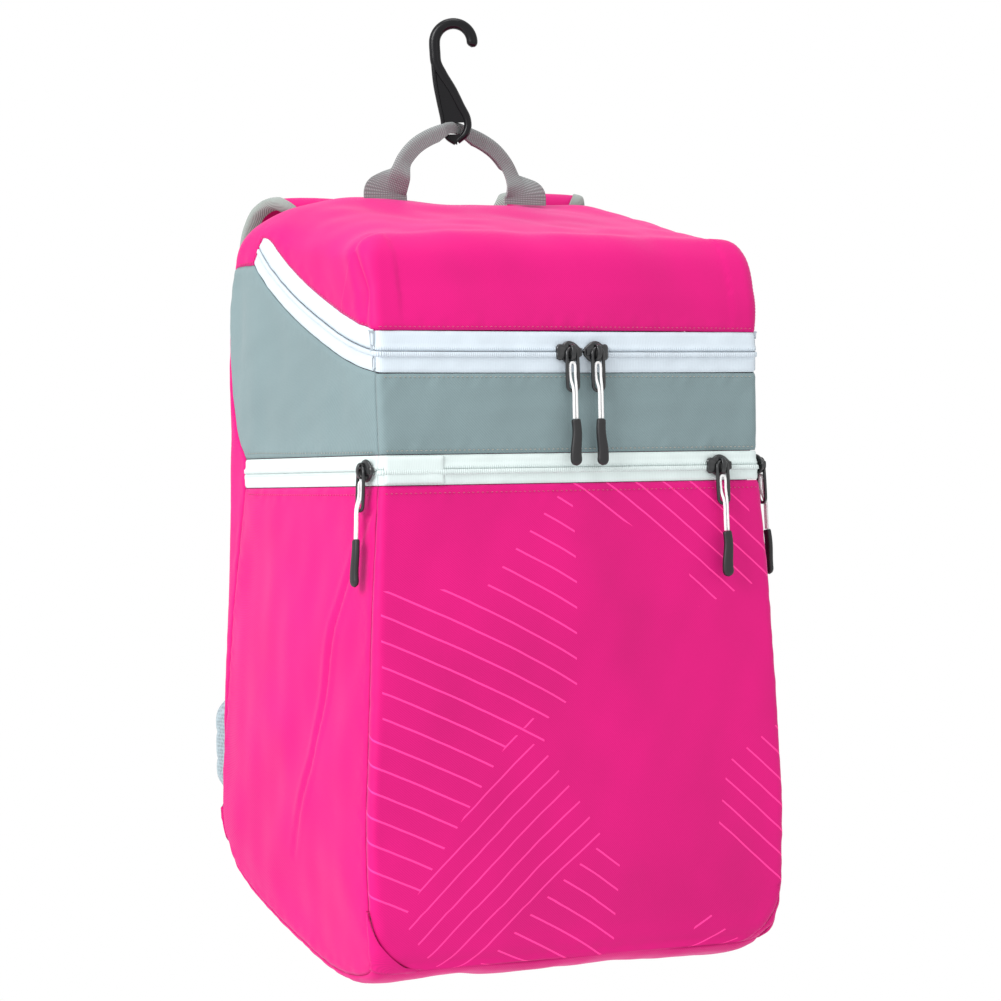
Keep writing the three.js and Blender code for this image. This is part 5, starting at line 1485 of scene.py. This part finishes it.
add_piece("fence_hook_plastic",
          joined([hook_rail(np.concatenate([curl, right_rail]), 170, hook_thick, True),
                  hook_rail(left_rail, 60, hook_thick * 0.8),
                  hook_web(-0.0635, -0.020, 24, 0.0019), hook_web(-0.0785, -0.0718, 8, 0.0029)]),
          hook_black, "hook_plastic", ["fence_hook"], sharp=50)


# Stitching
# Rows of thread hold the panels beside the zips: pink on the pink panels below the pocket zips and
# round the lid, and a paler tan thread on the grey bands.

thread_pink = new_material("thread_pink", (0.50, 0.004, 0.11), 0.6, Sheen_Weight=0.3)
thread_tan = new_material("thread_tan", (0.30, 0.29, 0.25), 0.6, Sheen_Weight=0.3)
for made in (thread_pink, thread_tan):
    thread_place = add_node(made, "TexCoord", {})
    twist = add_node(made, "TexNoise", {"Vector": thread_place["Object"], "Scale": 1200.0})
    add_bump(made, twist["Fac"], 0.3, 0.0002)


def threads(points, seed, pitch=0.0034, long=0.0023, thick=0.0007, lift=0.0003):
    """A row of stitches along a line of points: a slim spindle of eight faces for each."""
    run = run_of(points[0])
    at = np.arange(pitch, run[-1] - pitch, pitch)
    middle, face = (along_run(at, run, line) for line in points)
    along, face = units(along_run(at + 0.0005, run, points[0]) - middle), units(face)
    wide = np.cross(along, face)
    skew = np.random.default_rng(seed).uniform(-0.12, 0.12, (len(at), 1))
    along = along + wide * skew
    middle = middle + face * lift
    ends = [along * long / 2, face * thick / 2, wide * thick / 2, -face * thick / 2,
            -wide * thick / 2, -along * long / 2]
    corners = np.stack([middle + end for end in ends], 1)
    side = np.array([(0, 1, 2), (0, 2, 3), (0, 3, 4), (0, 4, 1),
                     (5, 2, 1), (5, 3, 2), (5, 4, 3), (5, 1, 4)])
    faces = (np.arange(len(at))[:, None, None] * 6 + side).reshape(-1, 3)
    return corners.reshape(-1, 3), faces.tolist(), np.zeros((len(faces) * 3, 2))


def line_of(points, index, axis, inset=0):
    """One row or column of a panel's grid and the normals along it."""
    take = (slice(inset, -inset or None), index) if axis else (index, slice(inset, -inset or None))
    return points[take], outward(points)[take]


pink_rows = [threads(line_of(front_grid, -3, False, 2), 101)]
pink_rows += [threads(line_of(side_grids[hand], -3, False, 2), 102) for hand in ("left", "right")]
pink_rows += [threads(line_of(lid_grid, 1, False, 3), 103)]
pink_rows += [threads(line_of(lid_grid, column, True, 3), 104) for column in (1, -2)]
add_piece("panel_stitches", joined(pink_rows), thread_pink, "pink_twill")
tan_rows = [threads(line_of(band_grid, index, False, 2), 105) for index in (2, -3)]
tan_rows += [threads(line_of(band_grids[hand], 2, False, 2), 106) for hand in ("left", "right")]
add_piece("band_stitches", joined(tan_rows), thread_tan, "grey_twill")
